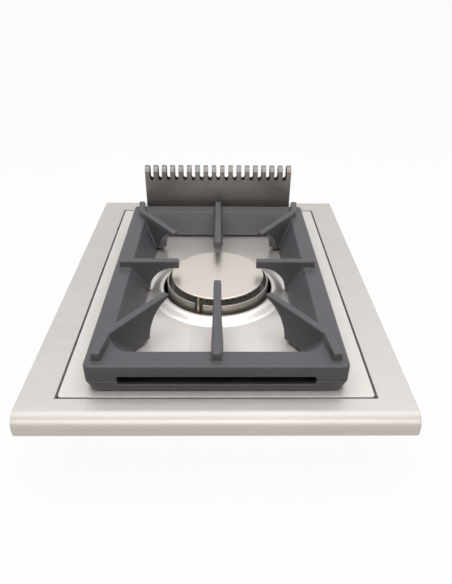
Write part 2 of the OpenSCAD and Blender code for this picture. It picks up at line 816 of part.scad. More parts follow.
module burner_bridge() {
  l = pan_w - 4 * case_t - 3;
  stiff_l = case_w - 2 * floor_rim - 4;
  color(zinc) difference() {
    union() {
      translate([-l / 2, burner_y - bridge_w / 2, bridge_z]) cube([l, bridge_w, bridge_t]);
      for (y = [burner_y - bridge_w / 2, burner_y + bridge_w / 2 - case_t])
        translate([-stiff_l / 2, y, bridge_z - stiffener_h]) cube([stiff_l, case_t, stiffener_h + eps]);
    }
    translate([0, burner_y, bridge_z - 1]) cylinder(h = bridge_t + 2, r = tube_or + 4, $fn = 64);
    bridge_screw_places() cylinder(h = top_h, r = screw_r, $fn = 24);
    boss_places() cylinder(h = top_h, r = screw_r, $fn = 24);
  }
}

module boss_places() {
  for (x = [-1, 1]) translate([x * boss_x, burner_y, 0]) children();
}

module bridge_screws() {
  color(zinc) bridge_screw_places() {
    translate([0, 0, bridge_z + bridge_t]) rotate([180, 0, 0]) screw(bridge_screw_l);
    translate([0, 0, pan_floor - screw_nut[1]]) difference() {
      cylinder(h = screw_nut[1], r = screw_nut[0], $fn = 6);
      translate([0, 0, -1]) cylinder(h = screw_nut[1] + 2, r = screw_r, $fn = 24);
    }
  }
}

module burner_screws() {
  color(zinc) boss_places() translate([0, 0, bridge_z]) screw(bridge_t + 4);
}

module sensor_places() {
  translate([thermo_x, thermo_y, 0]) children();
  translate([spark_x, spark_y, 0]) children();
}

// Four windows round the mixing tube
module air_windows() {
  reach = tube_or + 12;
  for (a = [0, 90]) rotate([0, 0, a])
    translate([-reach, -window_w / 2, air_z]) cube([2 * reach, window_w, window_h]);
}

// Cast cup under the cap, with a socket for the mixing tube in its floor
module burner_body() {
  socket_r = tube_or + run_gap;
  tube_stop = tube_top - top_h;
  color("silver") difference() {
    union() {
      translate([0, burner_y, top_h]) rotate_extrude($fn = 96)
        polygon([[body_bore, seat_z], [body_r, seat_z], [body_r, -6], [body_r + 5, -6],
          [body_r + 5, -6 - ear_h], [body_r - 1, -6 - ear_h], [body_r - 6, -16], [tube_or + 5, -20],
          [tube_or + 3, tube_stop - 4], [socket_r, tube_stop - 4], [socket_r, tube_stop],
          [tube_r, tube_stop], [tube_r + 5, -16.5], [body_bore - 4, -12.5], [body_bore, -7]]);
      boss_places() translate([0, 0, bridge_z + bridge_t])
        cylinder(h = top_h - 16 - bridge_z - bridge_t, r = 6, $fn = 32);
      for (s = [[thermo_x, thermo_y], [spark_x, spark_y]])
        translate([s[0], s[1], ear_top - ear_h]) cylinder(h = ear_h, r = 6, $fn = 32);
    }
    boss_places() cylinder(h = bridge_z + bridge_t + 4, r = screw_r, $fn = 24);
    sensor_places() translate([0, 0, ear_top - 20]) cylinder(h = 30, r = sheath_r, $fn = 32);
  }
}

// Tube that is screwed up into the cup and mixes the gas with air
module mixing_tube() {
  color("silver") translate([0, burner_y, 0]) difference() {
    translate([0, 0, tube_foot]) cylinder(h = tube_top - tube_foot, r = tube_or, $fn = 64);
    translate([0, 0, tube_foot - 1]) cylinder(h = tube_top - tube_foot + 2, r = tube_r, $fn = 64);
    air_windows();
  }
}

module burner_shroud() {
  lip = 0.8;
  color(steel) difference() {
    translate([0, burner_y, top_h]) rotate_extrude($fn = 128) {
      translate([shroud_r - shroud_t, -6]) square([shroud_t, shroud_h + 6]);
      translate([body_r + stack_gap, -6]) square([shroud_r - body_r - stack_gap, shroud_t]);
      translate([shroud_r - shroud_t - lip, shroud_h - 1]) square([shroud_t + lip, 1]);
    }
    for (a = [thermocouple_a, electrode_a]) translate([0, burner_y, 0]) rotate([0, 0, a])
      translate([body_r + 3, -notch_w / 2, top_h - 10]) cube([20, notch_w, shroud_h + 20]);
  }
}

module flame_spreader() {
  top = cap_h - cap_t;
  spigot_r = body_bore - stack_gap;
  color([0.30, 0.29, 0.27]) translate([0, burner_y, 0]) difference() {
    translate([0, 0, top_h]) rotate_extrude($fn = 96)
      polygon([[spreader_bore, seat_z - 4], [spigot_r, seat_z - 4], [spigot_r, seat_z],
        [spreader_r, seat_z], [spreader_r, top], [spreader_bore, top]]);
    for (i = [0 : ports - 1]) rotate([0, 0, (i + 0.5) * 360 / ports])
      translate([spreader_bore - 2, 0, port_z]) rotate([0, 90, 0])
        cylinder(h = spreader_t + 4, r = port_r, $fn = 16);
  }
}

module burner_cap() {
  rim_r = spreader_bore - stack_gap;
  low = cap_h - cap_t;
  color([0.86, 0.83, 0.80]) translate([0, burner_y, top_h]) rotate_extrude($fn = 128)
    polygon([[0, low], [0, cap_h], [cap_r - 1.2, cap_h], [cap_r - 0.3, cap_h - 0.5],
      [cap_r, cap_h - 1.2], [cap_r - 0.4, low], [rim_r, low], [rim_r, low - 4], [rim_r - 3, low - 4],
      [rim_r - 3, low]]);
}

module air_shutter() {
  r = tube_or + run_gap;
  color(zinc) translate([0, burner_y, 0]) {
    difference() {
      translate([0, 0, tube_foot + stack_gap])
        cylinder(h = window_h + 2 * window_edge, r = r + shutter_t, $fn = 64);
      translate([0, 0, tube_foot - 1])
        cylinder(h = window_h + 3 * window_edge, r = r, $fn = 64);
      air_windows();
    }
    rotate([0, 0, -45])
      translate([r + shutter_t / 2, -shutter_tab[1] / 2, air_z + window_h + window_edge / 2])
        cube(shutter_tab);
  }
}

module injector_holder() {
  color(brass) translate([0, burner_y, 0]) difference() {
    union() {
      translate([0, 0, holder_z]) cylinder(h = holder_h, r = tube_or + shutter_t + 2, $fn = 64);
      translate([0, -holder_arm[1] / 2, inlet_z - holder_arm[2] / 2]) cube(holder_arm);
      translate([0, 0, inlet_z - holder_arm[2] / 2]) cylinder(h = holder_h + 2, r = 8, $fn = 32);
      translate([0, 0, tube_foot - 1]) cylinder(h = 5, r = tube_r - run_gap, $fn = 64);
    }
    translate([0, 0, tube_foot]) cylinder(h = 10, r = tube_r - 2.5, $fn = 64);
    translate([0, 0, inlet_z]) cylinder(h = holder_h + 1, r = holder_bore, $fn = 32);
    translate([0, 0, inlet_z]) rotate([0, 90, 0])
      cylinder(h = holder_arm[0] + 1, r = holder_bore, $fn = 32);
  }
}

module injector() {
  color(brass) translate([0, burner_y, tube_foot]) difference() {
    union() {
      cylinder(h = 4, r = 5.8, $fn = 6);
      cylinder(h = 10, r = 3.5, $fn = 32);
      translate([0, 0, 10]) cylinder(h = 3, r1 = 3.5, r2 = 2, $fn = 32);
      translate([0, 0, -4]) cylinder(h = 5, r = holder_bore, $fn = 32);
    }
    translate([0, 0, -5]) cylinder(h = 13, r = 1.8, $fn = 24);
    cylinder(h = 20, r = 0.5, $fn = 24);
  }
}

// The four corners of the tap's front face, at the outer face of the casing
module tap_screw_places() {
  for (s = [-1, 1]) translate([tap_x + s * tap_screw_off, case_y0, tap_z + s * tap_screw_off])
    children();
}

module gas_tap() {
  h = tap_size / 2;
  color(brass) difference() {
    union() {
      translate([tap_x - h, tap_y0, tap_z - h]) cube([tap_size, tap_l, tap_size]);
      translate([tap_x - h - 6, lead_port_y, lead_z]) rotate([0, 90, 0])
        cylinder(h = 8, r = 5, $fn = 6);
    }
    along_y(tap_y0 - 1, 20) translate([tap_x, tap_z]) circle(shank_r + run_gap, $fn = 48);
    along_y(chamber_y0, plug_y1 + 0.5 - chamber_y0) translate([tap_x, tap_z])
      circle(chamber_r + run_gap, $fn = 64);
    along_y(plug_y1, 20) translate([tap_x, tap_z]) circle(3, $fn = 32);
    translate([tap_x, outlet_y, tap_z - h - 1]) cylinder(h = h, r = 2.5, $fn = 32);
    translate([tap_x - h - 7, lead_port_y, lead_z]) rotate([0, 90, 0])
      cylinder(h = 6, r = thermo_lead_r, $fn = 24);
    tap_screw_places() rotate([-90, 0, 0]) cylinder(h = tap_screw_l + 1, r = screw_r, $fn = 24);
  }
}

module tap_plug() {
  color(brass) difference() {
    along_y(plug_y0, plug_y1 - plug_y0) translate([tap_x, tap_z]) circle(chamber_r, $fn = 64);
    along_y(plug_y0 - 1, spring_y1 - plug_y0 + 1) translate([tap_x, tap_z]) difference() {
      circle(shank_r + run_gap, $fn = 48);
      translate([-10, shank_r - spindle_flat + run_gap]) square([20, 10]);
    }
    along_y(spring_y1 + 2, 20) translate([tap_x, tap_z]) circle(2, $fn = 24);
    translate([tap_x - 20, spring_y1 + 3, tap_z]) rotate([0, 90, 0]) cylinder(h = 20, r = 1.5, $fn = 24);
  }
}

module tap_spindle() {
  y0 = case_y0 - spindle_out;
  y1 = y0 + knob_l;
  color("silver") difference() {
    union() {
      along_y(y0, knob_l + 1) translate([tap_x, tap_z]) circle(spindle_r, $fn = 48);
      along_y(y1, spindle_y1 - y1) translate([tap_x, tap_z]) circle(shank_r, $fn = 48);
    }
    translate([tap_x - 10, y0 - 1, tap_z + spindle_r - spindle_flat]) cube([20, knob_l + 1, 10]);
    translate([tap_x - 10, plug_y0 - push_travel - 0.5, tap_z + shank_r - spindle_flat])
      cube([20, 20, 10]);
  }
}

module spindle_clip() {
  color("silver") along_y(chamber_y0 + 0.3, 1) translate([tap_x, tap_z]) difference() {
    circle(shank_r + 2.5, $fn = 32);
    circle(shank_r, $fn = 48);
  }
}

module spindle_spring() {
  color("silver") along_y(spindle_y1, spring_y1 - spindle_y1) translate([tap_x, tap_z]) difference() {
    circle(shank_r - spindle_flat - 0.2, $fn = 24);
    circle(shank_r - spindle_flat - 1, $fn = 24);
  }
}

module tap_screws() {
  color(zinc) tap_screw_places() rotate([-90, 0, 0]) screw(tap_screw_l);
}

module burner_pipe() {
  path = [[tap_x, outlet_y, tap_z - tap_size / 2], [tap_x, outlet_y, inlet_z],
    [tap_x, burner_y, inlet_z], [holder_arm[0], burner_y, inlet_z]];
  color("silver") difference() {
    bent_bar(path, pipe_bend, burner_pipe_r);
    bent_bar(path, pipe_bend, burner_pipe_r - pipe_t);
  }
}

module supply_pipe() {
  color("silver") along_y(tap_y1, supply_y1 - tap_y1) translate([tap_x, tap_z]) difference() {
    circle(supply_r, $fn = 32);
    circle(supply_r - pipe_t, $fn = 32);
  }
}

// Hexagon nut along +Z with a bore of radius r
module pipe_nut(r) {
  difference() {
    cylinder(h = nut_l, r = r + nut_wall, $fn = 6);
    translate([0, 0, -1]) cylinder(h = nut_l + 2, r = r, $fn = 32);
  }
}

module pipe_nuts() {
  color(brass) {
    translate([tap_x, outlet_y, tap_z - tap_size / 2 - nut_l]) pipe_nut(burner_pipe_r);
    translate([holder_arm[0], burner_y, inlet_z]) rotate([0, 90, 0]) pipe_nut(burner_pipe_r);
    translate([tap_x, tap_y1, tap_z]) rotate([-90, 0, 0]) pipe_nut(supply_r);
    translate([tap_x, supply_y1, tap_z]) rotate([90, 0, 0]) pipe_nut(supply_r);
  }
}

module inlet_connector() {
  color(brass) translate([tap_x, 0, tap_z]) difference() {
    union() {
      translate([0, case_y1 + 6, 0]) rotate([-90, 0, 0]) cylinder(h = inlet_l, r = inlet_r, $fn = 64);
      translate([0, case_y1, 0]) rotate([-90, 0, 0]) cylinder(h = 6, r = 15, $fn = 6);
      translate([0, supply_y1, 0]) rotate([-90, 0, 0])
        cylinder(h = case_y1 - supply_y1 + 1, r = neck_r, $fn = 32);
    }
    translate([0, supply_y1 - 1, 0]) rotate([-90, 0, 0])
      cylinder(h = inlet_l + 40, r = supply_r - pipe_t, $fn = 32);
  }
}

module inlet_backnut() {
  color(brass) translate([tap_x, case_y1 - case_t - backnut_t, tap_z]) rotate([-90, 0, 0])
    difference() {
    cylinder(h = backnut_t, r = neck_r + nut_wall + 1, $fn = 6);
    translate([0, 0, -1]) cylinder(h = backnut_t + 2, r = neck_r, $fn = 32);
  }
}

module thermocouple() {
  foot = thermo_foot - top_h;
  color([0.55, 0.45, 0.34]) translate([thermo_x, thermo_y, top_h]) rotate_extrude($fn = 32)
    polygon([[0, foot], [sheath_r, foot], [sheath_r, -6], [4.2, -6], [4.2, -3], [sheath_r, -3],
      [sheath_r, thermo_h - 12], [thermo_tip_r, thermo_h - 10], [thermo_tip_r, thermo_h - 2],
      [thermo_tip_r - 0.6, thermo_h - 0.4], [0, thermo_h]]);
}

module thermocouple_lead() {
  start = [thermo_x, thermo_y, thermo_foot];
  color([0.72, 0.45, 0.28]) bent_bar([start, [thermo_x, thermo_y, lead_z],
    [thermo_x, lead_port_y, lead_z], [tap_x - tap_size / 2 - 1, lead_port_y, lead_z]], lead_bend,
    thermo_lead_r);
}

module ignition_electrode() {
  pin = 1.1;
  foot = spark_foot - top_h;
  color("white") translate([spark_x, spark_y, top_h]) {
    rotate_extrude($fn = 32)
      polygon([[0, foot], [sheath_r, foot], [sheath_r, -6], [4, -6], [4, -2], [3, 0], [3, 5],
        [2, 6], [pin, 6], [pin, 17.5], [0, 17.5]]);
    rotate([0, 0, electrode_a + 180]) translate([0, 0, 16.4]) rotate([0, 90, 0])
      cylinder(h = 5, r = pin, $fn = 24);
  }
}

module ignition_lead() {
  start = [spark_x, spark_y, spark_foot];
  color("black") bent_bar([start, [spark_x, spark_y, lead_z - 4],
    [spark_x, generator_port_y, lead_z - 4], [generator_x1, generator_port_y, lead_z - 4]],
    lead_bend, ignition_lead_r);
}

module ignition_generator() {
  y1 = case_y1 - case_t;
  z0 = lead_z - 4 - generator[2] + 6;
  color([0.16, 0.16, 0.17]) difference() {
    translate([generator_x1 - generator[0], y1 - generator[1], z0]) cube(generator);
    translate([generator_x1 - 6, y1 - generator[1] - 1, z0 - 1]) cube([7, 6, generator[2] + 2]);
  }
}

module sensor_nuts() {
  color(zinc) sensor_places() translate([0, 0, ear_top - ear_h - 3.5]) difference() {
    cylinder(h = 3.5, r = 5.5, $fn = 6);
    translate([0, 0, -1]) cylinder(h = 6, r = sheath_r, $fn = 32);
  }
}

worktop_frame();
nose_end_caps();
worktop_seal();
upper_pan();
tray_ledge();
tray_seal();
flue_duct();
lower_casing();
service_plate();
casing_screws();
service_screws();
hob_tray();
tray_skirt();
flue_collar();
flue_cover();
grate_base();
grate();
grate_fingers();
burner_bridge();
bridge_screws();
burner_screws();
burner_body();
mixing_tube();
burner_shroud();
flame_spreader();
burner_cap();
air_shutter();
injector_holder();
injector();
gas_tap();
tap_plug();
tap_spindle();
spindle_clip();
spindle_spring();
tap_screws();
burner_pipe();
supply_pipe();
pipe_nuts();
inlet_connector();
inlet_backnut();
thermocouple();
thermocouple_lead();
ignition_electrode();
ignition_lead();
ignition_generator();
sensor_nuts();
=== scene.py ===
"""Looks of a drop-in gas burner module: brushed steel worktop, cast iron pan support, flue comb."""
import json
import math

import bmesh
import bpy
import numpy as np
from mathutils import Matrix, Vector


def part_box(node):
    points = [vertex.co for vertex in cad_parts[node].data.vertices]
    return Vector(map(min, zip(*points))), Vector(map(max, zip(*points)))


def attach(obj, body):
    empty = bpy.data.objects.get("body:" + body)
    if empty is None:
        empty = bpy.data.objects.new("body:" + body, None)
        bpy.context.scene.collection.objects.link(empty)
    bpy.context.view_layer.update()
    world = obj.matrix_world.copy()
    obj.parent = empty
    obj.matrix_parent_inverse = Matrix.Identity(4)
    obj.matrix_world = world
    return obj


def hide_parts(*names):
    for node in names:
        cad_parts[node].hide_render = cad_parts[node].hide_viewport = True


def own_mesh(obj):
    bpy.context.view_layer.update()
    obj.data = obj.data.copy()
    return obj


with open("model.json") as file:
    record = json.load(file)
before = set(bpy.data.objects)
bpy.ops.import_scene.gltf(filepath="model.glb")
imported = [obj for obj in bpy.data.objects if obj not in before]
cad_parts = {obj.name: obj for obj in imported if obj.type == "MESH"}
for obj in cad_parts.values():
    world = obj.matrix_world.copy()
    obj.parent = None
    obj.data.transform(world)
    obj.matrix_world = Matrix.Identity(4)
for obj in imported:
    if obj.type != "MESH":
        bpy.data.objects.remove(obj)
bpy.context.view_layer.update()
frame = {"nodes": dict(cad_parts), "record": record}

bl_info = {
    "name": "Gas Burner Module",
    "version": (1, 0, 0),
    "blender": (4, 5, 0),
    "location": "View3D > Sidebar > Burner",
    "description": "Dresses the packed gas burner module with its finishes and fine detail",
    "category": "Object",
}

MM = 0.001
BODY_OF = {n: b for b, ns in frame["record"]["behaviour"]["bodies"].items() for n in ns}
SLOT_OF = {s["node"]: s["material_slot"] for s in frame["record"]["subparts"]}


def middle(node):
    """Centre of a CAD node's box in metres."""
    low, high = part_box(node)
    return (low + high) / 2


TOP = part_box("worktop_frame")[1].z
BURNER = Vector((0.0, middle("burner_cap").y, TOP))
BASE_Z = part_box("service_plate")[0].z
BUFFED_BACK = 45 * MM
SAME_PLACE = 0.002 * MM


# Settings


def colour_setting(name, text, default):
    return bpy.props.FloatVectorProperty(
        name=name, description=text, subtype="COLOR", default=default, min=0, max=1)


def length_setting(name, text, default, low, high):
    """Length property, given here in millimetres."""
    return bpy.props.FloatProperty(
        name=name, description=text, unit="LENGTH", default=default * MM, min=low * MM, max=high * MM)


def count_setting(name, text, default, low, high):
    return bpy.props.IntProperty(name=name, description=text, default=default, min=low, max=high)


class BurnerFinishes(bpy.types.PropertyGroup):
    """Colours of the finishes."""

    worktop: colour_setting("Worktop steel", "Colour of the brushed frame", (0.64, 0.61, 0.585))
    tray: colour_setting("Tray steel", "Colour of the hob tray", (0.76, 0.72, 0.69))
    cap: colour_setting("Burner cap", "Colour of the satin burner cap", (0.74, 0.69, 0.64))
    band: colour_setting("Burner band", "Colour of the steel band round the burner", (0.50, 0.47, 0.43))
    spreader: colour_setting("Flame spreader", "Colour of the cast flame spreader", (0.34, 0.325, 0.30))
    flue: colour_setting("Flue cover", "Colour of the brushed flue cover", (0.265, 0.252, 0.238))
    iron: colour_setting("Cast iron", "Colour of the enamelled castings", (0.092, 0.090, 0.100))


class BurnerSizes(bpy.types.PropertyGroup):
    """Sizes of the shapes and the fine detail."""

    sheet_edge: length_setting("Sheet edge", "Rounding of the folded sheet's edges", 0.5, 0.1, 1)
    casting_voxel: length_setting(
        "Casting grid", "Grid size at which the castings' edges are rounded", 0.85, 0.6, 2)
    fillet_steps: count_setting(
        "Fillet steps", "Rounds of filling in the castings' inner corners", 14, 0, 40)
    lathe_steps: count_setting(
        "Turning steps", "Segments round the burner's turned pieces", 192, 64, 256)
    dome_radius: length_setting(
        "Dome radius", "Radius at which the tray starts to rise to the burner", 88, 85, 91)
    crest_radius: length_setting(
        "Crest radius", "Radius at which the tray's dome is at its highest", 73.6, 73, 79)
    hole_radius: length_setting(
        "Burner hole", "Radius of the tray's hole round the burner", 71, 70, 72.25)
    hole_roll: length_setting("Hole roll", "Radius of the roll at the hole's edge", 1.3, 0.5, 2)
    hole_lip: length_setting("Hole lip", "Height of the lip that hangs in the hole", 3, 2, 4)
    tray_sheet: length_setting("Tray sheet", "Thickness of the tray's sheet", 1.2, 0.8, 1.5)
    flue_sheet: length_setting("Flue sheet", "Thickness of the flue cover's sheet", 1.2, 1, 1.5)
    slot_count: count_setting("Comb slots", "Number of slots in the flue cover", 17, 9, 17)
    slot_width: length_setting("Slot width", "Width of a slot in the flue cover", 6, 4, 7)
    slot_pitch: length_setting("Slot pitch", "Spacing of the slots in the flue cover", 13.27, 12, 13.4)
    slot_foot: length_setting(
        "Slot foot", "Height of the slots' round feet over the worktop", 71, 55, 78)
    band_sheet: length_setting(
        "Band sheet", "Thickness of the steel band round the burner", 1.5, 1, 2)
    sensor_notch: length_setting(
        "Sensor notch", "Width of the band's openings at the two sensors", 11, 9, 12)
    spreader_wall: length_setting(
        "Spreader wall", "Thickness of the flame spreader's wall", 7.2, 6.5, 7.6)
    port_count: count_setting("Flame ports", "Number of ports round the flame spreader", 44, 24, 48)
    port_radius: length_setting("Port radius", "Radius of one flame port", 1.5, 1, 1.7)
    port_drop: length_setting("Port drop", "Depth of the ports' centres under the cap", 3.2, 2, 5)
    screw_recess: length_setting("Screw recess", "Width across the cross in a screw head", 4, 2, 5)
    spring_turns: count_setting("Spring turns", "Turns of the spindle spring", 8, 4, 10)
    spring_wire: length_setting("Spring wire", "Radius of the spindle spring's wire", 0.4, 0.2, 0.6)


def finishes():
    return bpy.context.scene.burner_finishes


def sizes():
    return bpy.context.scene.burner_sizes


# Materials


def start_material(name, colour, roughness, metallic=0.0, specular=0.5):
    """New material with one Principled shader."""
    mat = bpy.data.materials.new(name)
    mat.use_nodes = True
    shader = mat.node_tree.nodes["Principled BSDF"]
    shader.inputs["Base Color"].default_value = (*colour, 1)
    shader.inputs["Roughness"].default_value = roughness
    shader.inputs["Metallic"].default_value = metallic
    shader.inputs["Specular IOR Level"].default_value = specular
    mat.diffuse_color = (*colour, 1)
    return mat


def tree_node(tree, kind, links=None, **values):
    """Adds a node, sets its properties, and gives its inputs a value or another node's output."""
    new = tree.nodes.new(kind)
    for key, value in values.items():
        setattr(new, key, value)
    for key, source in (links or {}).items():
        if isinstance(source, bpy.types.NodeSocket):
            tree.links.new(source, new.inputs[key])
        else:
            new.inputs[key].default_value = source
    return new


def add_node(mat, kind, links=None, **values):
    return tree_node(mat.node_tree, kind, links, **values)


def object_place(mat, scale=(1, 1, 1), shift=(0, 0, 0)):
    """Object coordinates, stretched and then shifted."""
    place = add_node(mat, "ShaderNodeTexCoord").outputs["Object"]
    return add_node(mat, "ShaderNodeMapping", {
        "Vector": place, "Location": shift, "Scale": scale}).outputs["Vector"]


def noise(mat, scale, detail, roughness, stretch=(1, 1, 1)):
    return add_node(mat, "ShaderNodeTexNoise", {
        "Vector": object_place(mat, stretch), "Scale": scale, "Detail": detail,
        "Roughness": roughness}).outputs["Fac"]


def remap(mat, value, low, high, start=0.3, end=0.7):
    """Value from start..end brought to low..high."""
    return add_node(mat, "ShaderNodeMapRange", {
        "Value": value, "From Min": start, "From Max": end, "To Min": low,
        "To Max": high}).outputs["Result"]


def blend(mat, amount, a, b):
    """Mixes two colours by amount; each may be a colour or another node's output."""
    a, b = ((*c, 1) if isinstance(c, tuple) else c for c in (a, b))
    return add_node(mat, "ShaderNodeMix", {"Factor": amount, 6: a, 7: b}, data_type="RGBA").outputs[2]


def shade(colour, factor):
    """The colour made lighter or darker."""
    return tuple(min(1.0, c * factor) for c in colour)


def tones(mat, value, colour, dark, light):
    """Goes from a darker to a lighter shade of a colour with a value."""
    return blend(mat, remap(mat, value, 0, 1), shade(colour, dark), shade(colour, light))


def wire(mat, socket, output):
    mat.node_tree.links.new(output, mat.node_tree.nodes["Principled BSDF"].inputs[socket])


def bump(mat, height, strength, distance):
    """Bump from a height, joined to the shader; a second call stacks on the first."""
    new = add_node(mat, "ShaderNodeBump", {
        "Height": height, "Strength": strength, "Distance": distance})
    shader = mat.node_tree.nodes["Principled BSDF"].inputs["Normal"]
    if shader.is_linked:
        mat.node_tree.links.new(shader.links[0].from_socket, new.inputs["Normal"])
    mat.node_tree.links.new(new.outputs["Normal"], shader)


def finish(mat, tone, rough, height, strength, distance):
    """Joins a tone and a roughness to the shader and adds a bump."""
    wire(mat, "Base Color", tone)
    wire(mat, "Roughness", rough)
    bump(mat, height, strength, distance)
    return mat


def brushed_steel(name, colour, rough, grain="y", contrast=0.05, metallic=1.0):
    """Brushed sheet: fine scratches along the grain, wide faint bands and clouds across it."""
    mat = start_material(name, colour, rough, metallic)
    fine = {"x": (1, 60, 60), "y": (60, 1, 60)}[grain]
    wide = {"x": (1, 12, 12), "y": (12, 1, 12)}[grain]
    scratches = noise(mat, 24, 4, 0.6, fine)
    bands = noise(mat, 6, 3, 0.55, wide)
    clouds = noise(mat, 6, 2, 0.5)
    tone = tones(mat, scratches, colour, 1 - contrast, 1 + contrast)
    tone = blend(mat, remap(mat, bands, 0, 0.5), tone, shade(colour, 1 - 2 * contrast))
    tone = blend(mat, remap(mat, clouds, 0, 0.4), tone, shade(colour, 1 + 1.5 * contrast))
    rough = remap(mat, scratches, rough - 0.05, rough + 0.05)
    return finish(mat, tone, rough, scratches, 0.05, 0.00003)


def polished_tray_steel(name, colour):
    """Tray sheet: brushed front to back on the flat, buffed smoother on the dome and behind it."""
    mat = brushed_steel(name, colour, 0.5, "y", 0.06, 0.7)
    flat = object_place(mat, (1, 1, 0), (-BURNER.x, -BURNER.y - BUFFED_BACK, 0))
    length = add_node(mat, "ShaderNodeVectorMath", {0: flat}, operation="LENGTH")
    edge = sizes().dome_radius + BUFFED_BACK
    buffed = remap(mat, length.outputs["Value"], 1, 0, edge - 6 * MM, edge + 10 * MM)
    brushed = mat.node_tree.nodes["Principled BSDF"].inputs["Roughness"].links[0].from_socket
    rough = add_node(mat, "ShaderNodeMix", {"Factor": buffed, 2: brushed, 3: 0.3}, data_type="FLOAT")
    wire(mat, "Roughness", rough.outputs[0])
    wire(mat, "Metallic", remap(mat, buffed, 0.5, 0.7, 0, 1))
    return mat


def turned_metal(name, colour, rough, rings=900.0, metallic=1.0):
    """Turned or spun metal with faint rings about the burner's axis."""
    mat = start_material(name, colour, rough, metallic)
    place = object_place(mat, shift=(-BURNER.x, -BURNER.y, 0))
    wave = add_node(mat, "ShaderNodeTexWave", {"Vector": place, "Scale": rings, "Distortion": 1.5},
                    wave_type="RINGS", rings_direction="Z")
    clouds = noise(mat, 60, 4, 0.6)
    tone = tones(mat, clouds, colour, 0.94, 1.05)
    rough = remap(mat, clouds, rough * 0.85, rough * 1.2)
    return finish(mat, tone, rough, wave.outputs["Fac"], 0.04, 0.00003)


def satin_cap(name, colour):
    """Burner cap: fine satin grain with tiny pale and dark specks."""
    mat = start_material(name, colour, 0.36, 1.0)
    grain = noise(mat, 30, 4, 0.6, (90, 4, 40))
    specks = noise(mat, 900, 2, 0.7)
    tone = tones(mat, grain, colour, 0.95, 1.04)
    tone = blend(mat, remap(mat, specks, 0, 0.35, 0.55, 0.75), tone, shade(colour, 0.85))
    return finish(mat, tone, remap(mat, grain, 0.31, 0.42), specks, 0.06, 0.00005)


def enamelled_iron(name, colour):
    """Matt enamel over sand-cast iron: soft pits, faint mottling, proud edges a little brighter as
    rubbed wear and a painted edge highlight.
    """
    mat = start_material(name, colour, 0.5, specular=0.55)
    sand = noise(mat, 750, 5, 0.65)
    lumps = noise(mat, 140, 3, 0.5)
    mottle = noise(mat, 30, 4, 0.6)
    # Proud edges painted lighter: partly rubbed wear, partly a painted edge highlight.
    worn_and_highlit = add_node(mat, "ShaderNodeAttribute", attribute_name="edge_wear").outputs["Fac"]
    tone = tones(mat, mottle, colour, 0.9, 1.12)
    tone = blend(mat, remap(mat, sand, 0, 0.4, 0.5, 0.8), tone, shade(colour, 1.4))
    tone = blend(mat, remap(mat, worn_and_highlit, 0, 0.5, 0, 1), tone, shade(colour, 1.9))
    finish(mat, tone, remap(mat, mottle, 0.44, 0.56), sand, 0.25, 0.0001)
    bump(mat, lumps, 0.2, 0.00025)
    return mat


def galvanised_sheet(name):
    """Zinc spangle on hidden sheet metal."""
    colour = (0.50, 0.52, 0.54)
    mat = start_material(name, colour, 0.42, 1.0)
    cells = add_node(mat, "ShaderNodeTexVoronoi", {"Vector": object_place(mat), "Scale": 130})
    fine = noise(mat, 300, 3, 0.6)
    split = add_node(mat, "ShaderNodeSeparateColor", {"Color": cells.outputs["Color"]}).outputs["Red"]
    tone = blend(mat, split, shade(colour, 0.86), shade(colour, 1.12))
    tone = blend(mat, remap(mat, fine, 0, 0.3), tone, shade(colour, 0.9))
    return finish(mat, tone, remap(mat, split, 0.34, 0.52, 0, 1), fine, 0.08, 0.0001)


def plain_metal(name, colour, rough, mottle=0.08, scale=180, metallic=1.0):
    """Machined or drawn metal with a slight uneven tone."""
    mat = start_material(name, colour, rough, metallic)
    fine = noise(mat, scale, 4, 0.6)
    tone = tones(mat, fine, colour, 1 - mottle, 1 + mottle)
    return finish(mat, tone, remap(mat, fine, rough * 0.8, rough * 1.25), fine, 0.05, 0.00008)


def soft_material(name, colour, rough, grain=500, strength=0.25, specular=0.4):
    """Rubber, plastic or ceramic with a fine moulded grain."""
    mat = start_material(name, colour, rough, specular=specular)
    fine = noise(mat, grain, 3, 0.6)
    tone = tones(mat, fine, colour, 0.85, 1.15)
    rough = remap(mat, fine, rough * 0.85, min(1, rough * 1.15))
    return finish(mat, tone, rough, fine, strength, 0.0001)


def heat_stained(name):
    """Thermocouple sheath: grey at the foot, gold and brown towards the flame."""
    mat = start_material(name, (0.33, 0.27, 0.2), 0.33, 1.0)
    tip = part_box("thermocouple")[1].z
    height = add_node(mat, "ShaderNodeSeparateXYZ", {"Vector": object_place(mat)}).outputs["Z"]
    rise = remap(mat, height, 0, 1, TOP, tip)
    fine = noise(mat, 500, 4, 0.6)
    tone = blend(mat, rise, (0.44, 0.41, 0.37), (0.50, 0.42, 0.33))
    tone = blend(mat, remap(mat, fine, 0, 0.6), tone, (0.24, 0.20, 0.16))
    return finish(mat, tone, remap(mat, fine, 0.26, 0.45), fine, 0.1, 0.0001)


MATERIALS = {}


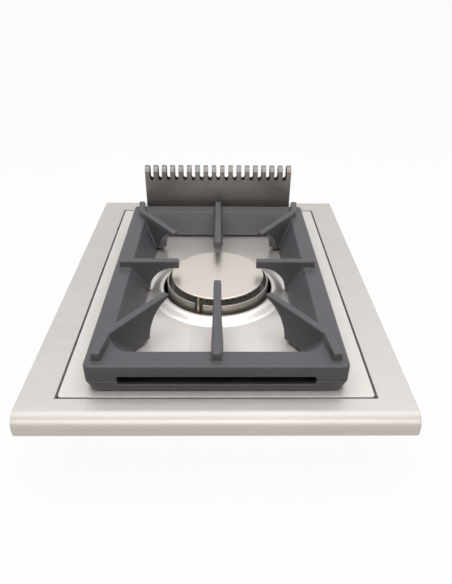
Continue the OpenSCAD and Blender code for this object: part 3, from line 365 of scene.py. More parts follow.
def make_materials():
    """One material for each of the record's slots."""
    look = finishes()
    kinds = {
        "worktop_steel": (brushed_steel, look.worktop, 0.5, "x", 0.05, 0.65),
        "tray_steel": (polished_tray_steel, look.tray),
        "flue_steel": (brushed_steel, look.flue, 0.42, "x", 0.08),
        "band_steel": (turned_metal, look.band, 0.42, 900, 0.8),
        "cap_steel": (satin_cap, look.cap),
        "grate_iron": (enamelled_iron, look.iron),
        "galvanised": (galvanised_sheet,),
        "zinc_screws": (plain_metal, (0.58, 0.60, 0.62), 0.26),
        "cast_aluminium": (plain_metal, (0.52, 0.52, 0.51), 0.48, 0.12, 300),
        "dark_alloy": (plain_metal, look.spreader, 0.5, 0.2, 240, 0.3),
        "tap_brass": (plain_metal, (0.62, 0.44, 0.20), 0.25),
        "spindle_steel": (plain_metal, (0.52, 0.52, 0.53), 0.22),
        "pipe_steel": (plain_metal, (0.50, 0.50, 0.51), 0.28),
        "sheath_metal": (heat_stained,),
        "copper_lead": (plain_metal, (0.55, 0.27, 0.15), 0.32),
        "ceramic": (soft_material, (0.78, 0.75, 0.68), 0.22, 200, 0.05, 0.6),
        "black_rubber": (soft_material, (0.03, 0.03, 0.032), 0.75),
        "red_silicone": (soft_material, (0.30, 0.045, 0.03), 0.6),
        "black_plastic": (soft_material, (0.035, 0.035, 0.038), 0.45, 900, 0.15),
    }
    for slot, (kind, *values) in kinds.items():
        MATERIALS[slot] = kind(slot, *values)


# Mesh helpers


def new_object(name, mesh):
    obj = bpy.data.objects.new(name, mesh)
    bpy.context.scene.collection.objects.link(obj)
    return obj


def from_bmesh(name, bm):
    """New object of a bmesh, which it frees."""
    mesh = bpy.data.meshes.new(name)
    bm.to_mesh(mesh)
    bm.free()
    return new_object(name, mesh)


def merged_copy(name, node):
    """Copy of a CAD node with its doubles merged and its flat faces joined."""
    bm = bmesh.new()
    bm.from_mesh(frame["nodes"][node].data)
    bmesh.ops.remove_doubles(bm, verts=bm.verts, dist=SAME_PLACE)
    bmesh.ops.dissolve_limit(bm, angle_limit=math.radians(0.4), verts=bm.verts, edges=bm.edges,
                             delimit={"NORMAL"})
    return from_bmesh(name, bm)


def delete(obj):
    mesh = obj.data
    bpy.data.objects.remove(obj)
    bpy.data.meshes.remove(mesh)


def apply_modifiers(obj):
    """Bakes the modifiers into a plain mesh and removes them."""
    bpy.context.view_layer.update()
    evaluated = obj.evaluated_get(bpy.context.evaluated_depsgraph_get())
    mesh = bpy.data.meshes.new_from_object(evaluated)
    obj.modifiers.clear()
    old = obj.data
    obj.data = mesh
    bpy.data.meshes.remove(old)


def combine(obj, other, operation, grow=0.0):
    """Joins a second solid to the first (UNION) or cuts it away (DIFFERENCE), and deletes it.

    The second may grow a little first, so that two touching solids overlap.
    """
    if grow:
        swell = other.modifiers.new("Swell", "DISPLACE")
        swell.mid_level = 0
        swell.strength = grow
    work = obj.modifiers.new("Combine", "BOOLEAN")
    work.operation = operation
    work.solver = "EXACT"
    work.object = other
    apply_modifiers(obj)
    delete(other)


def soften_edges(obj, width, segments=2, angle=30):
    """Small rounded edges all over a hard-edged piece, its flats shaded flat."""
    bevel = obj.modifiers.new("Edges", "BEVEL")
    bevel.width = width
    bevel.segments = segments
    bevel.limit_method = "ANGLE"
    bevel.angle_limit = math.radians(angle)
    bevel.use_clamp_overlap = True
    apply_modifiers(obj)
    smooth(obj, 35)
    weigh = obj.modifiers.new("Weigh", "WEIGHTED_NORMAL")
    weigh.keep_sharp = True
    apply_modifiers(obj)


def smooth(obj, angle):
    obj.data.shade_smooth()
    obj.data.set_sharp_from_angle(angle=math.radians(angle))


def coat(obj, slot):
    """Gives an object one material."""
    obj.data.materials.clear()
    obj.data.materials.append(MATERIALS[slot])
    for polygon in obj.data.polygons:
        polygon.material_index = 0


def dress(obj, body, slot, *nodes):
    """Gives a finished piece the material of its slot and its body, and hides the CAD nodes it stands
    for.
    """
    coat(obj, slot)
    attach(obj, body)
    if nodes:
        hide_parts(*nodes)
    return obj


def skin(name, body, slot, node, width, segments=2):
    """Copy of a CAD node with softened edges that stands for it."""
    piece = merged_copy(name, node)
    soften_edges(piece, width, segments)
    dress(piece, body, slot, node)


def paint(*nodes):
    """Carried-over CAD nodes take the material of their slot."""
    for node in nodes:
        obj = frame["nodes"][node]
        coat(obj, SLOT_OF[node])
        smooth(obj, 30)


def lathe(name, profile, centre, steps=None, loop=True):
    """Turns an outline of (radius, height) in millimetres about a vertical axis."""
    steps = steps or sizes().lathe_steps
    bm = bmesh.new()
    rings = []
    for radius, height in profile:
        angles = [2 * math.pi * i / steps for i in range(steps if radius > 0 else 1)]
        rings.append([bm.verts.new((centre.x + radius * MM * math.cos(angle),
                                    centre.y + radius * MM * math.sin(angle),
                                    centre.z + height * MM)) for angle in angles])
    pairs = list(zip(rings, rings[1:]))
    if loop:
        pairs.append((rings[-1], rings[0]))
    for a, b in pairs:
        if len(a) == len(b) == 1:
            continue
        for i in range(steps):
            j = (i + 1) % steps
            corners = (a[i % len(a)], b[i % len(b)], b[j % len(b)], a[j % len(a)])
            bm.faces.new(list(dict.fromkeys(corners)))
    bmesh.ops.recalc_face_normals(bm, faces=bm.faces)
    return from_bmesh(name, bm)


def prism(name, outline, x0, x1):
    """Closed solid of an outline in (y, z) between two places along x, in metres."""
    bm = bmesh.new()
    ends = [[bm.verts.new((x, y, z)) for y, z in outline] for x in (x0, x1)]
    for end in ends:
        bm.faces.new(end)
    for i in range(len(outline)):
        j = (i + 1) % len(outline)
        bm.faces.new((ends[0][i], ends[0][j], ends[1][j], ends[1][i]))
    bmesh.ops.recalc_face_normals(bm, faces=bm.faces)
    return from_bmesh(name, bm)


def block(name, size, centre, turn):
    """Box of a size in metres, turned about its upright axis."""
    bm = bmesh.new()
    place = Matrix.Translation(centre) @ Matrix.Rotation(turn, 4, "Z") @ Matrix.Diagonal((*size, 1))
    bmesh.ops.create_cube(bm, size=1.0, matrix=place)
    return from_bmesh(name, bm)


def arc(cx, cy, radius, start, end, steps=6):
    """Points of an arc in degrees, for an outline."""
    return [(cx + radius * math.cos(math.radians(start + (end - start) * i / steps)),
             cy + radius * math.sin(math.radians(start + (end - start) * i / steps)))
            for i in range(steps + 1)]


def welded(name, pieces):
    """Joins mesh objects into one, welded where their edges meet."""
    bm = bmesh.new()
    for piece in pieces:
        bm.from_mesh(piece.data)
    bmesh.ops.remove_doubles(bm, verts=bm.verts, dist=0.02 * MM)
    bmesh.ops.recalc_face_normals(bm, faces=bm.faces)
    for piece in pieces:
        delete(piece)
    return from_bmesh(name, bm)


def islands(node):
    """Arrays of the vertex places of each loose solid in a CAD node."""
    bm = bmesh.new()
    bm.from_mesh(frame["nodes"][node].data)
    bmesh.ops.remove_doubles(bm, verts=bm.verts, dist=SAME_PLACE)
    left = set(bm.verts)
    found = []
    while left:
        stack = [left.pop()]
        group = []
        while stack:
            vertex = stack.pop()
            group.append(vertex.co.copy())
            near = {e.other_vert(vertex) for e in vertex.link_edges} & left
            left -= near
            stack.extend(near)
        found.append(np.array(group))
    bm.free()
    return found


# Geometry node helpers


def new_tree(name, inputs):
    """Geometry tree with a Geometry input, a Geometry output and named inputs."""
    tree = bpy.data.node_groups.new(name, "GeometryNodeTree")
    tree.interface.new_socket("Geometry", in_out="INPUT", socket_type="NodeSocketGeometry")
    for label, kind, default in inputs:
        socket = tree.interface.new_socket(label, in_out="INPUT", socket_type=kind)
        if default is not None:
            socket.default_value = default
    tree.interface.new_socket("Geometry", in_out="OUTPUT", socket_type="NodeSocketGeometry")
    return tree, tree.nodes.new("NodeGroupInput"), tree.nodes.new("NodeGroupOutput")


def maths(tree, operation, a, b):
    """Math node of two values, each a number or another node's output."""
    return tree_node(tree, "ShaderNodeMath", {0: a, 1: b}, operation=operation).outputs[0]


def vector(tree, **parts):
    """Vector of X, Y and Z, each a number or another node's output."""
    return tree_node(tree, "ShaderNodeCombineXYZ", parts).outputs[0]


def realized(tree, geometry):
    real = tree_node(tree, "GeometryNodeRealizeInstances", {"Geometry": geometry})
    return real.outputs["Geometry"]


def moved(tree, geometry, turn, shift=(0, 0, 0)):
    return tree_node(tree, "GeometryNodeTransform", {
        "Geometry": geometry, "Rotation": turn, "Translation": shift}).outputs["Geometry"]


def instances(tree, points, instance, turn=(0, 0, 0)):
    return tree_node(tree, "GeometryNodeInstanceOnPoints", {
        "Points": points, "Instance": instance, "Rotation": turn}).outputs["Instances"]


def cut_away(tree, solid, *cutters):
    """The solid without what the cutters fill."""
    cut = tree_node(tree, "GeometryNodeMeshBoolean", {"Mesh 1": solid},
                    operation="DIFFERENCE", solver="EXACT")
    for cutter in cutters:
        tree.links.new(cutter, cut.inputs["Mesh 2"])
    return cut.outputs["Mesh"]


def close_tree(tree, out, geometry, material):
    """Ends a tree in Realize Instances and Set Material."""
    painted = tree_node(tree, "GeometryNodeSetMaterial", {
        "Geometry": realized(tree, geometry), "Material": material})
    tree.links.new(painted.outputs["Geometry"], out.inputs["Geometry"])


def run_tree(obj, tree, **values):
    """Runs a tree on an object with its inputs set by identifier, and bakes the result."""
    modifier = obj.modifiers.new(tree.name, "NODES")
    modifier.node_group = tree
    for item in tree.interface.items_tree:
        key = item.name.lower().replace(" ", "_")
        if item.in_out == "INPUT" and key in values:
            modifier[item.identifier] = values[key]
    apply_modifiers(obj)
    bpy.data.node_groups.remove(tree)
    return obj


def loose_points(name, places, aims):
    """Mesh of loose points, each with the direction that its screw points in."""
    mesh = bpy.data.meshes.new(name)
    mesh.from_pydata([tuple(p) for p in places], [], [])
    aim = mesh.attributes.new("aim", "FLOAT_VECTOR", "POINT")
    aim.data.foreach_set("vector", np.array(aims, float).ravel())
    return new_object(name, mesh)


def comb_tree(material):
    """Cuts the hollow and a row of round-footed slots out of the flue cover."""
    tree, given, out = new_tree("comb_slots", [
        ("Hollow", "NodeSocketObject", None), ("Slots", "NodeSocketInt", 17),
        ("First Slot", "NodeSocketVector", (0, 0, 0)), ("Pitch", "NodeSocketFloat", 13 * MM),
        ("Width", "NodeSocketFloat", 6 * MM), ("Length", "NodeSocketFloat", 30 * MM),
        ("Depth", "NodeSocketFloat", 20 * MM)])
    value = given.outputs
    round_bar = tree_node(tree, "GeometryNodeMeshCylinder", {
        "Vertices": 48, "Radius": maths(tree, "MULTIPLY", value["Width"], 0.5),
        "Depth": value["Depth"]})
    across = moved(tree, round_bar.outputs["Mesh"], (math.pi / 2, 0, 0))
    place = tree_node(tree, "GeometryNodeInputPosition")
    height = tree_node(tree, "ShaderNodeSeparateXYZ", {0: place.outputs[0]})
    upper = tree_node(tree, "FunctionNodeCompare", {0: height.outputs["Z"], 1: 1e-6},
                      data_type="FLOAT", operation="GREATER_THAN")
    cutter = tree_node(tree, "GeometryNodeSetPosition", {
        "Geometry": across, "Selection": upper.outputs["Result"],
        "Offset": vector(tree, Z=value["Length"])})
    row = tree_node(tree, "GeometryNodeMeshLine", {
        "Count": value["Slots"], "Start Location": value["First Slot"],
        "Offset": vector(tree, X=value["Pitch"])})
    slots = instances(tree, row.outputs["Mesh"], cutter.outputs["Geometry"])
    hollow = tree_node(tree, "GeometryNodeObjectInfo", {"Object": value["Hollow"]})
    cover = cut_away(tree, value["Geometry"], hollow.outputs["Geometry"], realized(tree, slots))
    close_tree(tree, out, cover, material)
    return tree


def port_tree(material):
    """Drills a ring of radial flame ports through the spreader's wall."""
    tree, given, out = new_tree("flame_ports", [
        ("Ports", "NodeSocketInt", 44), ("Centre", "NodeSocketVector", (0, 0, 0)),
        ("Ring Radius", "NodeSocketFloat", 54 * MM), ("Port Radius", "NodeSocketFloat", 1.5 * MM),
        ("Wall", "NodeSocketFloat", 10 * MM)])
    value = given.outputs
    drill = tree_node(tree, "GeometryNodeMeshCylinder", {
        "Vertices": 20, "Radius": value["Port Radius"], "Depth": value["Wall"]})
    port = moved(tree, drill.outputs["Mesh"], (0, math.pi / 2, 0),
                 vector(tree, X=value["Ring Radius"]))
    start = tree_node(tree, "GeometryNodeMeshLine", {
        "Count": value["Ports"], "Start Location": value["Centre"], "Offset": (0, 0, 0)})
    index = tree_node(tree, "GeometryNodeInputIndex")
    share = maths(tree, "DIVIDE", maths(tree, "ADD", index.outputs[0], 0.5), value["Ports"])
    angle = maths(tree, "MULTIPLY", share, 2 * math.pi)
    spin = tree_node(tree, "FunctionNodeEulerToRotation", {"Euler": vector(tree, Z=angle)})
    ports = instances(tree, start.outputs["Mesh"], port, spin.outputs[0])
    close_tree(tree, out, cut_away(tree, value["Geometry"], realized(tree, ports)), material)
    return tree


def screw_tree(material):
    """Cuts a cross in a screw's head and sets one screw at each point, along its aim."""
    tree, given, out = new_tree("cross_head_screws", [
        ("Screw", "NodeSocketObject", None), ("Recess", "NodeSocketFloat", 4 * MM),
        ("Head Top", "NodeSocketFloat", -2.4 * MM)])
    value = given.outputs
    screw = tree_node(tree, "GeometryNodeObjectInfo", {"Object": value["Screw"]})
    slim = maths(tree, "MULTIPLY", value["Recess"], 0.22)
    deep = maths(tree, "MULTIPLY", value["Recess"], 0.7)
    blade = tree_node(tree, "GeometryNodeMeshCube", {
        "Size": vector(tree, X=value["Recess"], Y=slim, Z=deep)})
    top = vector(tree, Z=value["Head Top"])
    cross = [moved(tree, blade.outputs["Mesh"], (0, 0, angle), top)
             for angle in (math.pi / 4, -math.pi / 4)]
    whole = cut_away(tree, screw.outputs["Geometry"], *cross)
    aim = tree_node(tree, "GeometryNodeInputNamedAttribute", {"Name": "aim"}, data_type="FLOAT_VECTOR")
    turn = tree_node(tree, "FunctionNodeAlignRotationToVector", {"Vector": aim.outputs["Attribute"]},
                     axis="Z")
    placed = instances(tree, value["Geometry"], whole, turn.outputs[0])
    close_tree(tree, out, placed, material)
    return tree


def coil_tree(material):
    """Winds a spring of round wire along +Y from a starting point."""
    tree, given, out = new_tree("coil", [
        ("Turns", "NodeSocketFloat", 8), ("Coil Radius", "NodeSocketFloat", 3 * MM),
        ("Wire Radius", "NodeSocketFloat", 0.4 * MM), ("Length", "NodeSocketFloat", 10 * MM),
        ("Start", "NodeSocketVector", (0, 0, 0))])
    value = given.outputs
    helix = tree_node(tree, "GeometryNodeCurveSpiral", {
        "Resolution": 28, "Rotations": value["Turns"], "Start Radius": value["Coil Radius"],
        "End Radius": value["Coil Radius"], "Height": value["Length"]})
    section = tree_node(tree, "GeometryNodeCurvePrimitiveCircle", {
        "Resolution": 10, "Radius": value["Wire Radius"]})
    wound = tree_node(tree, "GeometryNodeCurveToMesh", {
        "Curve": helix.outputs[0], "Profile Curve": section.outputs[0], "Fill Caps": True})
    laid = moved(tree, wound.outputs["Mesh"], (-math.pi / 2, 0, 0), value["Start"])
    close_tree(tree, out, laid, material)
    return tree


# Pieces


class BURNER_OT_worktop(bpy.types.Operator):
    """Builds the brushed frame with its nose and end caps."""

    bl_idname = "burner.worktop"
    bl_label = "Worktop frame"

    def execute(self, context):
        edge = sizes().sheet_edge
        skin("frame_skin", "root", "worktop_steel", "worktop_frame", edge)
        skin("end_cap_skin", "root", "worktop_steel", "nose_end_caps", edge * 0.8)
        return {"FINISHED"}


class BURNER_OT_tray(bpy.types.Operator):
    """Builds the hob tray with its folded edge, pressed dome, rolled hole edge and flue collar."""

    bl_idname = "burner.tray"
    bl_label = "Hob tray"

    def execute(self, context):
        form = sizes()
        sheet = merged_copy("tray_flat", "hob_tray")
        combine(sheet, merged_copy("tray_fold", "tray_skirt"), "UNION")
        bm = bmesh.new()
        bm.from_mesh(sheet.data)
        near = [f for f in bm.faces if all((v.co.xy - BURNER.xy).length < form.dome_radius + 1e-5
                                           for v in f.verts)]
        bmesh.ops.delete(bm, geom=near, context="FACES")
        ring = sum(vertex.is_boundary for vertex in bm.verts) // 2
        bm.to_mesh(sheet.data)
        bm.free()
        soften_edges(sheet, form.sheet_edge * 1.6, 3)
        piece = welded("tray_skin", [sheet, self.dome(ring)])
        smooth(piece, 40)
        dress(piece, "tray", "tray_steel", "hob_tray", "tray_skirt")
        skin("collar_skin", "tray", "tray_steel", "flue_collar", form.sheet_edge, 3)
        return {"FINISHED"}

    def dome(self, steps):
        """Smooth step up from the flat to the crest, then a lip rolled down round the hole."""
        form = sizes()
        foot, crest, hole, sheet, roll = (v / MM for v in (
            form.dome_radius, form.crest_radius, form.hole_radius, form.tray_sheet, form.hole_roll))
        height = (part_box("hob_tray")[1].z - TOP) / MM
        inner_roll = 0.3
        shares = [i / 24 for i in range(25)]
        upper = [(foot + (crest - foot) * u, height * u * u * (3 - 2 * u)) for u in shares]
        lower = [(r, z - sheet) for r, z in upper]
        lip_foot = height - form.hole_lip / MM
        lip = arc(hole + roll, height - roll, roll, 90, 180) + [(hole, lip_foot)]
        under = [(hole + sheet, lip_foot), (hole + sheet, height - sheet - inner_roll),
                 (hole + sheet + inner_roll, height - sheet)]
        return lathe("tray_dome", upper + lip + under + lower[::-1], BURNER, steps, loop=False)


class BURNER_OT_castings(bpy.types.Operator):
    """Rounds the pan support and its lower ring like sand castings."""

    bl_idname = "burner.castings"
    bl_label = "Pan support castings"

    def execute(self, context):
        support = merged_copy("grate_casting", "grate")
        combine(support, merged_copy("fingers", "grate_fingers"), "UNION", 0.02 * MM)
        self.cast(support)
        dress(support, "pan_support", "grate_iron", "grate", "grate_fingers")
        ring = merged_copy("grate_base_casting", "grate_base")
        self.cast(ring)
        dress(ring, "lower_ring", "grate_iron", "grate_base")
        return {"FINISHED"}

    def cast(self, piece):
        grid = piece.modifiers.new("Grid", "REMESH")
        grid.mode = "VOXEL"
        grid.voxel_size = sizes().casting_voxel * 1.0
        apply_modifiers(piece)
        relax(piece, 2, sizes().fillet_steps)
        most = 185000
        count = sum(len(p.vertices) - 2 for p in piece.data.polygons)
        thin = piece.modifiers.new("Thin", "DECIMATE")
        thin.ratio = min(1.0, most / count)
        apply_modifiers(piece)
        mark_worn_and_highlit_edges(piece)
        piece.data.shade_smooth()


def grid_of(mesh):
    """Vertex places and normals, and two functions that compare vertices with their neighbours."""
    count = len(mesh.vertices)
    places = np.empty(count * 3)
    mesh.vertices.foreach_get("co", places)
    normals = np.empty(count * 3)
    mesh.vertices.foreach_get("normal", normals)
    ends = np.empty(len(mesh.edges) * 2, np.int32)
    mesh.edges.foreach_get("vertices", ends)
    a, b = ends.reshape(-1, 2).T
    degree = np.bincount(a, minlength=count) + np.bincount(b, minlength=count)

    def average(values):
        return (np.bincount(a, values[b], count) + np.bincount(b, values[a], count)) / degree

    def pull(places):
        """Way from each vertex to the middle of its neighbours."""
        return np.stack([average(places[:, k]) for k in range(3)], axis=1) - places

    return places.reshape(-1, 3), normals.reshape(-1, 3), average, pull


def relax(obj, everywhere, inside):
    """Smooths a dense mesh: a few steps everywhere, more where it is hollow, which leaves fillets."""
    places, normals, _, pull = grid_of(obj.data)
    nearly_flat = 0.012 * MM
    for step in range(everywhere + inside):
        shift = pull(places)
        if step >= everywhere:
            out = np.einsum("ij,ij->i", shift, normals)
            shift = normals * np.clip(out - nearly_flat, 0, None)[:, None]
        places = places + 0.5 * shift
    obj.data.vertices.foreach_set("co", places.ravel())
    obj.data.update()


def mark_worn_and_highlit_edges(obj):
    """Keeps on each vertex how much it stands out as an edge, for the lighter tone there: rubbed wear
    and a painted edge highlight.
    """
    places, normals, average, pull = grid_of(obj.data)
    least, span = 0.02 * MM, 0.07 * MM
    proud = -np.einsum("ij,ij->i", pull(places), normals)
    for _ in range(3):
        proud = average(proud)
    # How much each edge is painted lighter: rubbed wear plus a painted edge highlight.
    edge_light_and_wear = obj.data.attributes.new("edge_wear", "FLOAT", "POINT")
    edge_light_and_wear.data.foreach_set("value", np.clip((proud - least) / span, 0, 1))


class BURNER_OT_flue_cover(bpy.types.Operator):
    """Builds the comb-topped flue cover with its slots."""

    bl_idname = "burner.flue_cover"
    bl_label = "Flue cover"

    def execute(self, context):
        form = sizes()
        low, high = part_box("flue_cover")
        sheet = form.flue_sheet
        cover = prism("flue_cover_skin", self.outline(low, high, 0, 0), low.x, high.x)
        hollow = prism("flue_hollow", self.outline(low, high, sheet, MM), low.x + sheet, high.x - sheet)
        first = (-(form.slot_count - 1) / 2 * form.slot_pitch, (low.y + high.y) / 2,
                 TOP + form.slot_foot + form.slot_width / 2)
        run_tree(cover, comb_tree(MATERIALS["flue_steel"]), hollow=hollow, slots=form.slot_count,
                 first_slot=first, pitch=form.slot_pitch, width=form.slot_width,
                 length=high.z - first[2] + 5 * MM, depth=high.y - low.y + 2 * MM)
        delete(hollow)
        soften_edges(cover, 0.25 * MM, 2, 40)
        dress(cover, "flue_cover", "flue_steel", "flue_cover")
        return {"FINISHED"}

    def outline(self, low, high, inset, below):
        """Side outline in (y, z) with a round top, set in from the sheet's outside."""
        y, r = (low.y + high.y) / 2, (high.y - low.y) / 2 - inset
        top = arc(y, high.z - r - inset, r, 0, 180, 40)
        return [(y - r, low.z - below), (y + r, low.z - below)] + top


class BURNER_OT_burner_head(bpy.types.Operator):
    """Builds the cap, the flame spreader with its ports, the band and both sensors."""

    bl_idname = "burner.burner_head"
    bl_label = "Burner head"

    def execute(self, context):
        cap = self.cap()
        smooth(cap, 35)
        dress(cap, "cap", "cap_steel", "burner_cap")
        spreader = self.spreader()
        smooth(spreader, 30)
        dress(spreader, "spreader", "dark_alloy", "flame_spreader")
        dress(self.band(), "root", "band_steel", "burner_shroud")
        paint("thermocouple", "ignition_electrode")
        return {"FINISHED"}

    def cap(self):
        """Flat disc with a turned edge and a ring below that centres it in the spreader."""
        low, high = ((v - BURNER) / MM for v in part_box("burner_cap"))
        rim, top, foot = high.x, high.z, low.z
        ring_height, ring_wall, ring_play, edge = 4, 3, 0.3, 1.2
        under = foot + ring_height
        outer = (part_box("flame_spreader")[1].x - sizes().spreader_wall) / MM - ring_play
        inner = outer - ring_wall
        turned = arc(rim - edge, top - edge - 0.05, edge, 80, 0, 6)
        return lathe("cap_disc", [(0, top), (rim - edge - 1, top)] + turned
                     + [(rim - 0.1, top - 1.8), (rim - 0.4, under), (outer, under), (outer, foot),
                        (inner, foot), (inner, under), (0, under)], BURNER, loop=False)

    def band(self):
        """Turned band with a thin rounded lip, a foot ring and an opening at each sensor."""
        form = sizes()
        low, high = ((v - BURNER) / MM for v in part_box("burner_shroud"))
        rim, top, foot, sheet = high.x, high.z, low.z, form.band_sheet / MM
        nearest = min((v.co - BURNER).xy.length for v in frame["nodes"]["burner_shroud"].data.vertices)
        lip = arc(rim - 0.5, top - 0.5, 0.5, 0, 90, 4)
        inside = [(rim - sheet - 0.2, top), (rim - sheet, top - 0.8), (rim - sheet, foot + sheet)]
        band = lathe("band_skin", [(rim, foot)] + lip + inside + [
            (nearest / MM, foot + sheet), (nearest / MM, foot)], BURNER)
        start, length, tall = nearest + 2.5 * MM, 20 * MM, 60 * MM
        for sensor in ("thermocouple", "ignition_electrode"):
            side = middle(sensor) - BURNER
            reach = Vector((side.x, side.y, 0)).normalized() * (start + length / 2)
            notch = block("notch", (length, form.sensor_notch, tall), BURNER + reach,
                          math.atan2(side.y, side.x))
            combine(band, notch, "DIFFERENCE")
        soften_edges(band, 0.15 * MM, 2, 50)
        return band

    def spreader(self):
        form = sizes()
        low, high = ((v - BURNER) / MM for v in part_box("flame_spreader"))
        foot_places = [v.co - BURNER for v in frame["nodes"]["flame_spreader"].data.vertices
                       if v.co.z < BURNER.z + (low.z + 0.1) * MM]
        spigot = max(v.xy.length for v in foot_places) / MM
        rim, top, foot = high.x, high.z, low.z
        bore = rim - form.spreader_wall / MM
        seat_height, chamfer = 4, 0.6
        seat = foot + seat_height
        ring = lathe("spreader_ring", [
            (bore, foot), (spigot, foot), (spigot, seat), (rim - 0.4, seat), (rim, seat + 0.4),
            (rim, top - chamfer), (rim - chamfer, top), (bore, top)], BURNER)
        height = BURNER.z + top * MM - form.port_drop
        return run_tree(ring, port_tree(MATERIALS["dark_alloy"]), ports=form.port_count,
                        centre=(BURNER.x, BURNER.y, height), port_radius=form.port_radius,
                        ring_radius=(rim + bore) / 2 * MM, wall=form.spreader_wall + 4 * MM)


class BURNER_OT_gas_line(bpy.types.Operator):
    """Winds the spindle spring and paints the tap, the pipes, the injector and the leads."""

    bl_idname = "burner.gas_line"
    bl_label = "Gas line"

    def execute(self, context):
        paint("gas_tap", "tap_plug", "tap_spindle", "spindle_clip", "burner_pipe", "supply_pipe",
              "pipe_nuts", "inlet_connector", "inlet_backnut", "injector_holder", "injector",
              "air_shutter", "burner_body", "mixing_tube", "thermocouple_lead", "ignition_lead",
              "ignition_generator")
        low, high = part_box("spindle_spring")
        wire = sizes().spring_wire
        slot = SLOT_OF["spindle_spring"]
        spring = new_object("spindle_coil", bpy.data.meshes.new("spindle_coil"))
        centre = (low + high) / 2
        run_tree(spring, coil_tree(MATERIALS[slot]), turns=float(sizes().spring_turns),
                 coil_radius=(high.x - low.x) / 2 - wire, wire_radius=wire,
                 length=high.y - low.y - 2 * wire, start=(centre.x, low.y + wire, centre.z))
        spring.data.shade_smooth()
        dress(spring, BODY_OF["spindle_spring"], slot, "spindle_spring")
        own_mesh(spring)
        return {"FINISHED"}


class BURNER_OT_screws(bpy.types.Operator):
    """Sets cross-headed screws in place of the plain ones."""

    bl_idname = "burner.screws"
    bl_label = "Screws"

    def execute(self, context):
        crown, thread, tip = 1.2, 2, 1.2
        for node in ("casing_screws", "service_screws", "tap_screws", "burner_screws"):
            places, aims, radius, head, shank = screw_places(node)
            rounded = arc(radius - crown, crown - head, crown, 60, 0, 3)
            screw = lathe("screw_shape", [(0, -head), (radius * 0.62, -head)] + rounded + [
                (radius, 0), (thread, 0), (thread, shank - 1), (tip, shank), (0, shank)],
                Vector((0, 0, 0)), steps=28, loop=False)
            smooth(screw, 40)
            slot = SLOT_OF[node]
            group = loose_points(node + "_set", places, aims)
            run_tree(group, screw_tree(MATERIALS[slot]), screw=screw, recess=sizes().screw_recess,
                     head_top=-head * MM)
            delete(screw)
            dress(group, BODY_OF[node], slot, node)
        return {"FINISHED"}


def screw_places(node):
    """Seats and aims of a node's screws in metres, then one screw's sizes in millimetres."""
    places, aims = [], []
    for points in islands(node):
        low, high = points.min(axis=0), points.max(axis=0)
        span = high - low
        axis = max(range(3), key=lambda k: min(abs(span[k] - span[j]) for j in range(3) if j != k))
        levels = np.unique(np.round(points[:, axis], 6))
        head_first = levels[1] - levels[0] < levels[-1] - levels[-2]
        seat = (low + high) / 2
        seat[axis] = levels[1] if head_first else levels[-2]
        aim = np.zeros(3)
        aim[axis] = 1 if head_first else -1
        places.append(seat)
        aims.append(aim)
        radius = span[1 if axis == 0 else 0] / 2 / MM
        head = min(levels[1] - levels[0], levels[-1] - levels[-2]) / MM
        shank = span[axis] / MM - head
    return places, aims, radius, head, shank


class BURNER_OT_casing(bpy.types.Operator):
    """Paints the pan, the casing, the seals and the small fasteners."""

    bl_idname = "burner.casing"
    bl_label = "Casing"

    def execute(self, context):
        paint("upper_pan", "tray_ledge", "flue_duct", "lower_casing", "service_plate",
              "burner_bridge", "worktop_seal", "tray_seal", "bridge_screws", "sensor_nuts")
        return {"FINISHED"}


# Stage


def area_light(name, place, target, size, power, colour=(1, 1, 1)):
    data = bpy.data.lights.new(name, "AREA")
    data.shape = "RECTANGLE"
    data.size, data.size_y = size
    data.energy = power
    data.color = colour
    obj = new_object(name, data)
    obj.location = place
    obj.rotation_euler = (Vector(target) - Vector(place)).to_track_quat("-Z", "Y").to_euler()
    return obj


def white_floor():
    """Pale floor that the camera and the metal see as white and that keeps the soft shadow."""
    half = 14.0
    mesh = bpy.data.meshes.new("floor")
    mesh.from_pydata([(-half, -half, 0), (half, -half, 0), (half, half, 0), (-half, half, 0)],
                     [], [(0, 1, 2, 3)])
    floor = new_object("floor", mesh)
    floor.location.z = BASE_Z
    mat = start_material("floor_pale", (0.55, 0.55, 0.55), 0.9)
    mesh.materials.append(mat)
    tree = mat.node_tree
    path = tree_node(tree, "ShaderNodeLightPath")
    tint = tree_node(tree, "ShaderNodeMix", {
        0: path.outputs["Is Glossy Ray"], 6: (1, 1, 1, 1), 7: (1, 0.95, 0.9, 1)}, data_type="RGBA")
    white = tree_node(tree, "ShaderNodeEmission", {"Color": tint.outputs[2], "Strength": 1.05})
    seen = maths(tree, "MAXIMUM", maths(tree, "MULTIPLY", path.outputs["Is Camera Ray"], 0.9),
                 maths(tree, "MULTIPLY", path.outputs["Is Glossy Ray"], 0.95))
    mix = tree_node(tree, "ShaderNodeMixShader", {
        0: seen, 1: tree.nodes["Principled BSDF"].outputs[0], 2: white.outputs[0]})
    tree.links.new(mix.outputs[0], tree.nodes["Material Output"].inputs["Surface"])


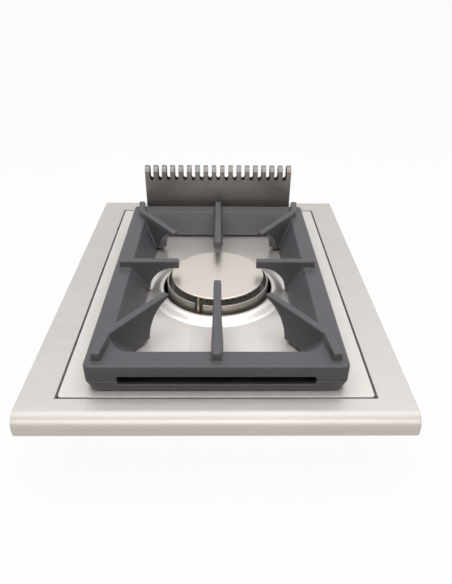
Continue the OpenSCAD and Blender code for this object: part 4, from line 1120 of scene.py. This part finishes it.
def soft_world():
    """White to the camera; to the metal a soft room, brighter up and behind than low in front."""
    world = bpy.data.worlds.new("soft_world")
    world.use_nodes = True
    tree = world.node_tree
    back = tree.nodes["Background"]
    path = tree_node(tree, "ShaderNodeLightPath")
    way = tree_node(tree, "ShaderNodeTexCoord")
    rise = tree_node(tree, "ShaderNodeVectorMath", {0: way.outputs["Generated"], 1: (0.1, 0.45, 0.8)},
                     operation="DOT_PRODUCT")
    share = tree_node(tree, "ShaderNodeMapRange", {
        "Value": rise.outputs["Value"], "From Min": -0.4, "From Max": 0.9})
    room = tree_node(tree, "ShaderNodeMix", {
        0: share.outputs[0], 6: (0.45, 0.42, 0.39, 1), 7: (1, 1, 1, 1)}, data_type="RGBA")
    tint = tree_node(tree, "ShaderNodeMix", {
        0: path.outputs["Is Camera Ray"], 6: room.outputs[2], 7: (1, 1, 1, 1)}, data_type="RGBA")
    seen = maths(tree, "MAXIMUM", path.outputs["Is Camera Ray"], path.outputs["Is Glossy Ray"])
    fill = 0.22
    strength = maths(tree, "ADD", fill, maths(tree, "MULTIPLY", seen, 1 - fill))
    tree.links.new(tint.outputs[2], back.inputs["Color"])
    tree.links.new(strength, back.inputs["Strength"])
    return world


def photo_camera():
    """Camera fitted to the photograph's angle; its measures are in pixels of the photograph."""
    pitch, yaw, roll = (math.radians(v) for v in (32.582, 0.795, -0.518))
    ahead = Vector((math.sin(yaw) * math.cos(pitch), math.cos(yaw) * math.cos(pitch), -math.sin(pitch)))
    right = ahead.cross(Vector((0, 0, 1))).normalized()
    down = ahead.cross(right)
    level = right * math.cos(roll) + down * math.sin(roll)
    drop = -right * math.sin(roll) + down * math.cos(roll)
    data = bpy.data.cameras.new("photo_camera")
    photo_height, focal_length = 584, 527.78
    data.sensor_width = 36
    data.lens = focal_length / photo_height * data.sensor_width
    data.clip_start = 0.01
    obj = new_object("photo_camera", data)
    turn = Matrix((level, -drop, -ahead)).transposed()
    obj.matrix_world = Matrix.Translation((0.00291, -0.62366, 0.47657)) @ turn.to_4x4()
    return obj


class BURNER_OT_stage(bpy.types.Operator):
    """Sets the floor, the soft light and the camera."""

    bl_idname = "burner.stage"
    bl_label = "Stage"

    def execute(self, context):
        scene = context.scene
        white_floor()
        scene.world = soft_world()
        burner = (0, 0, 0.1)
        wide = (1.7, 1.2)
        warm = (1, 0.96, 0.91)
        area_light("overhead", (0, -0.1, 1.3), burner, wide, 9.5)
        soft_fill = area_light("soft_fill", (0, -0.1, 1.32), burner, wide, 6)
        soft_fill.visible_glossy = False
        strip = area_light("front_strip", (0, -1.3, 0.64), (0, -0.1, 0.1), (1.5, 0.12), 8.4, warm)
        strip.visible_diffuse = False
        area_light("rear_right", (0.9, 1.0, 0.9), burner, (0.6, 0.6), 0.5)
        scene.camera = photo_camera()
        scene.view_settings.view_transform = "Standard"
        return {"FINISHED"}


class BURNER_PT_panel(bpy.types.Panel):
    """Lists the module's settings and steps."""

    bl_label = "Gas burner module"
    bl_idname = "BURNER_PT_panel"
    bl_space_type = "VIEW_3D"
    bl_region_type = "UI"
    bl_category = "Burner"

    def draw(self, context):
        layout = self.layout
        for group in (context.scene.burner_finishes, context.scene.burner_sizes):
            for key in group.__annotations__:
                layout.prop(group, key)
        for step in STEPS:
            layout.operator(step.bl_idname)


STEPS = (BURNER_OT_worktop, BURNER_OT_tray, BURNER_OT_castings, BURNER_OT_flue_cover,
         BURNER_OT_burner_head, BURNER_OT_gas_line, BURNER_OT_screws, BURNER_OT_casing,
         BURNER_OT_stage)
CLASSES = (BurnerFinishes, BurnerSizes, *STEPS, BURNER_PT_panel)


def register():
    for cls in CLASSES:
        bpy.utils.register_class(cls)
    bpy.types.Scene.burner_finishes = bpy.props.PointerProperty(type=BurnerFinishes)
    bpy.types.Scene.burner_sizes = bpy.props.PointerProperty(type=BurnerSizes)


def unregister():
    del bpy.types.Scene.burner_sizes
    del bpy.types.Scene.burner_finishes
    for cls in reversed(CLASSES):
        bpy.utils.unregister_class(cls)


def main():
    register()
    make_materials()
    for step in STEPS:
        getattr(bpy.ops.burner, step.bl_idname.split(".")[1])()


if __name__ == "__main__":
    main()
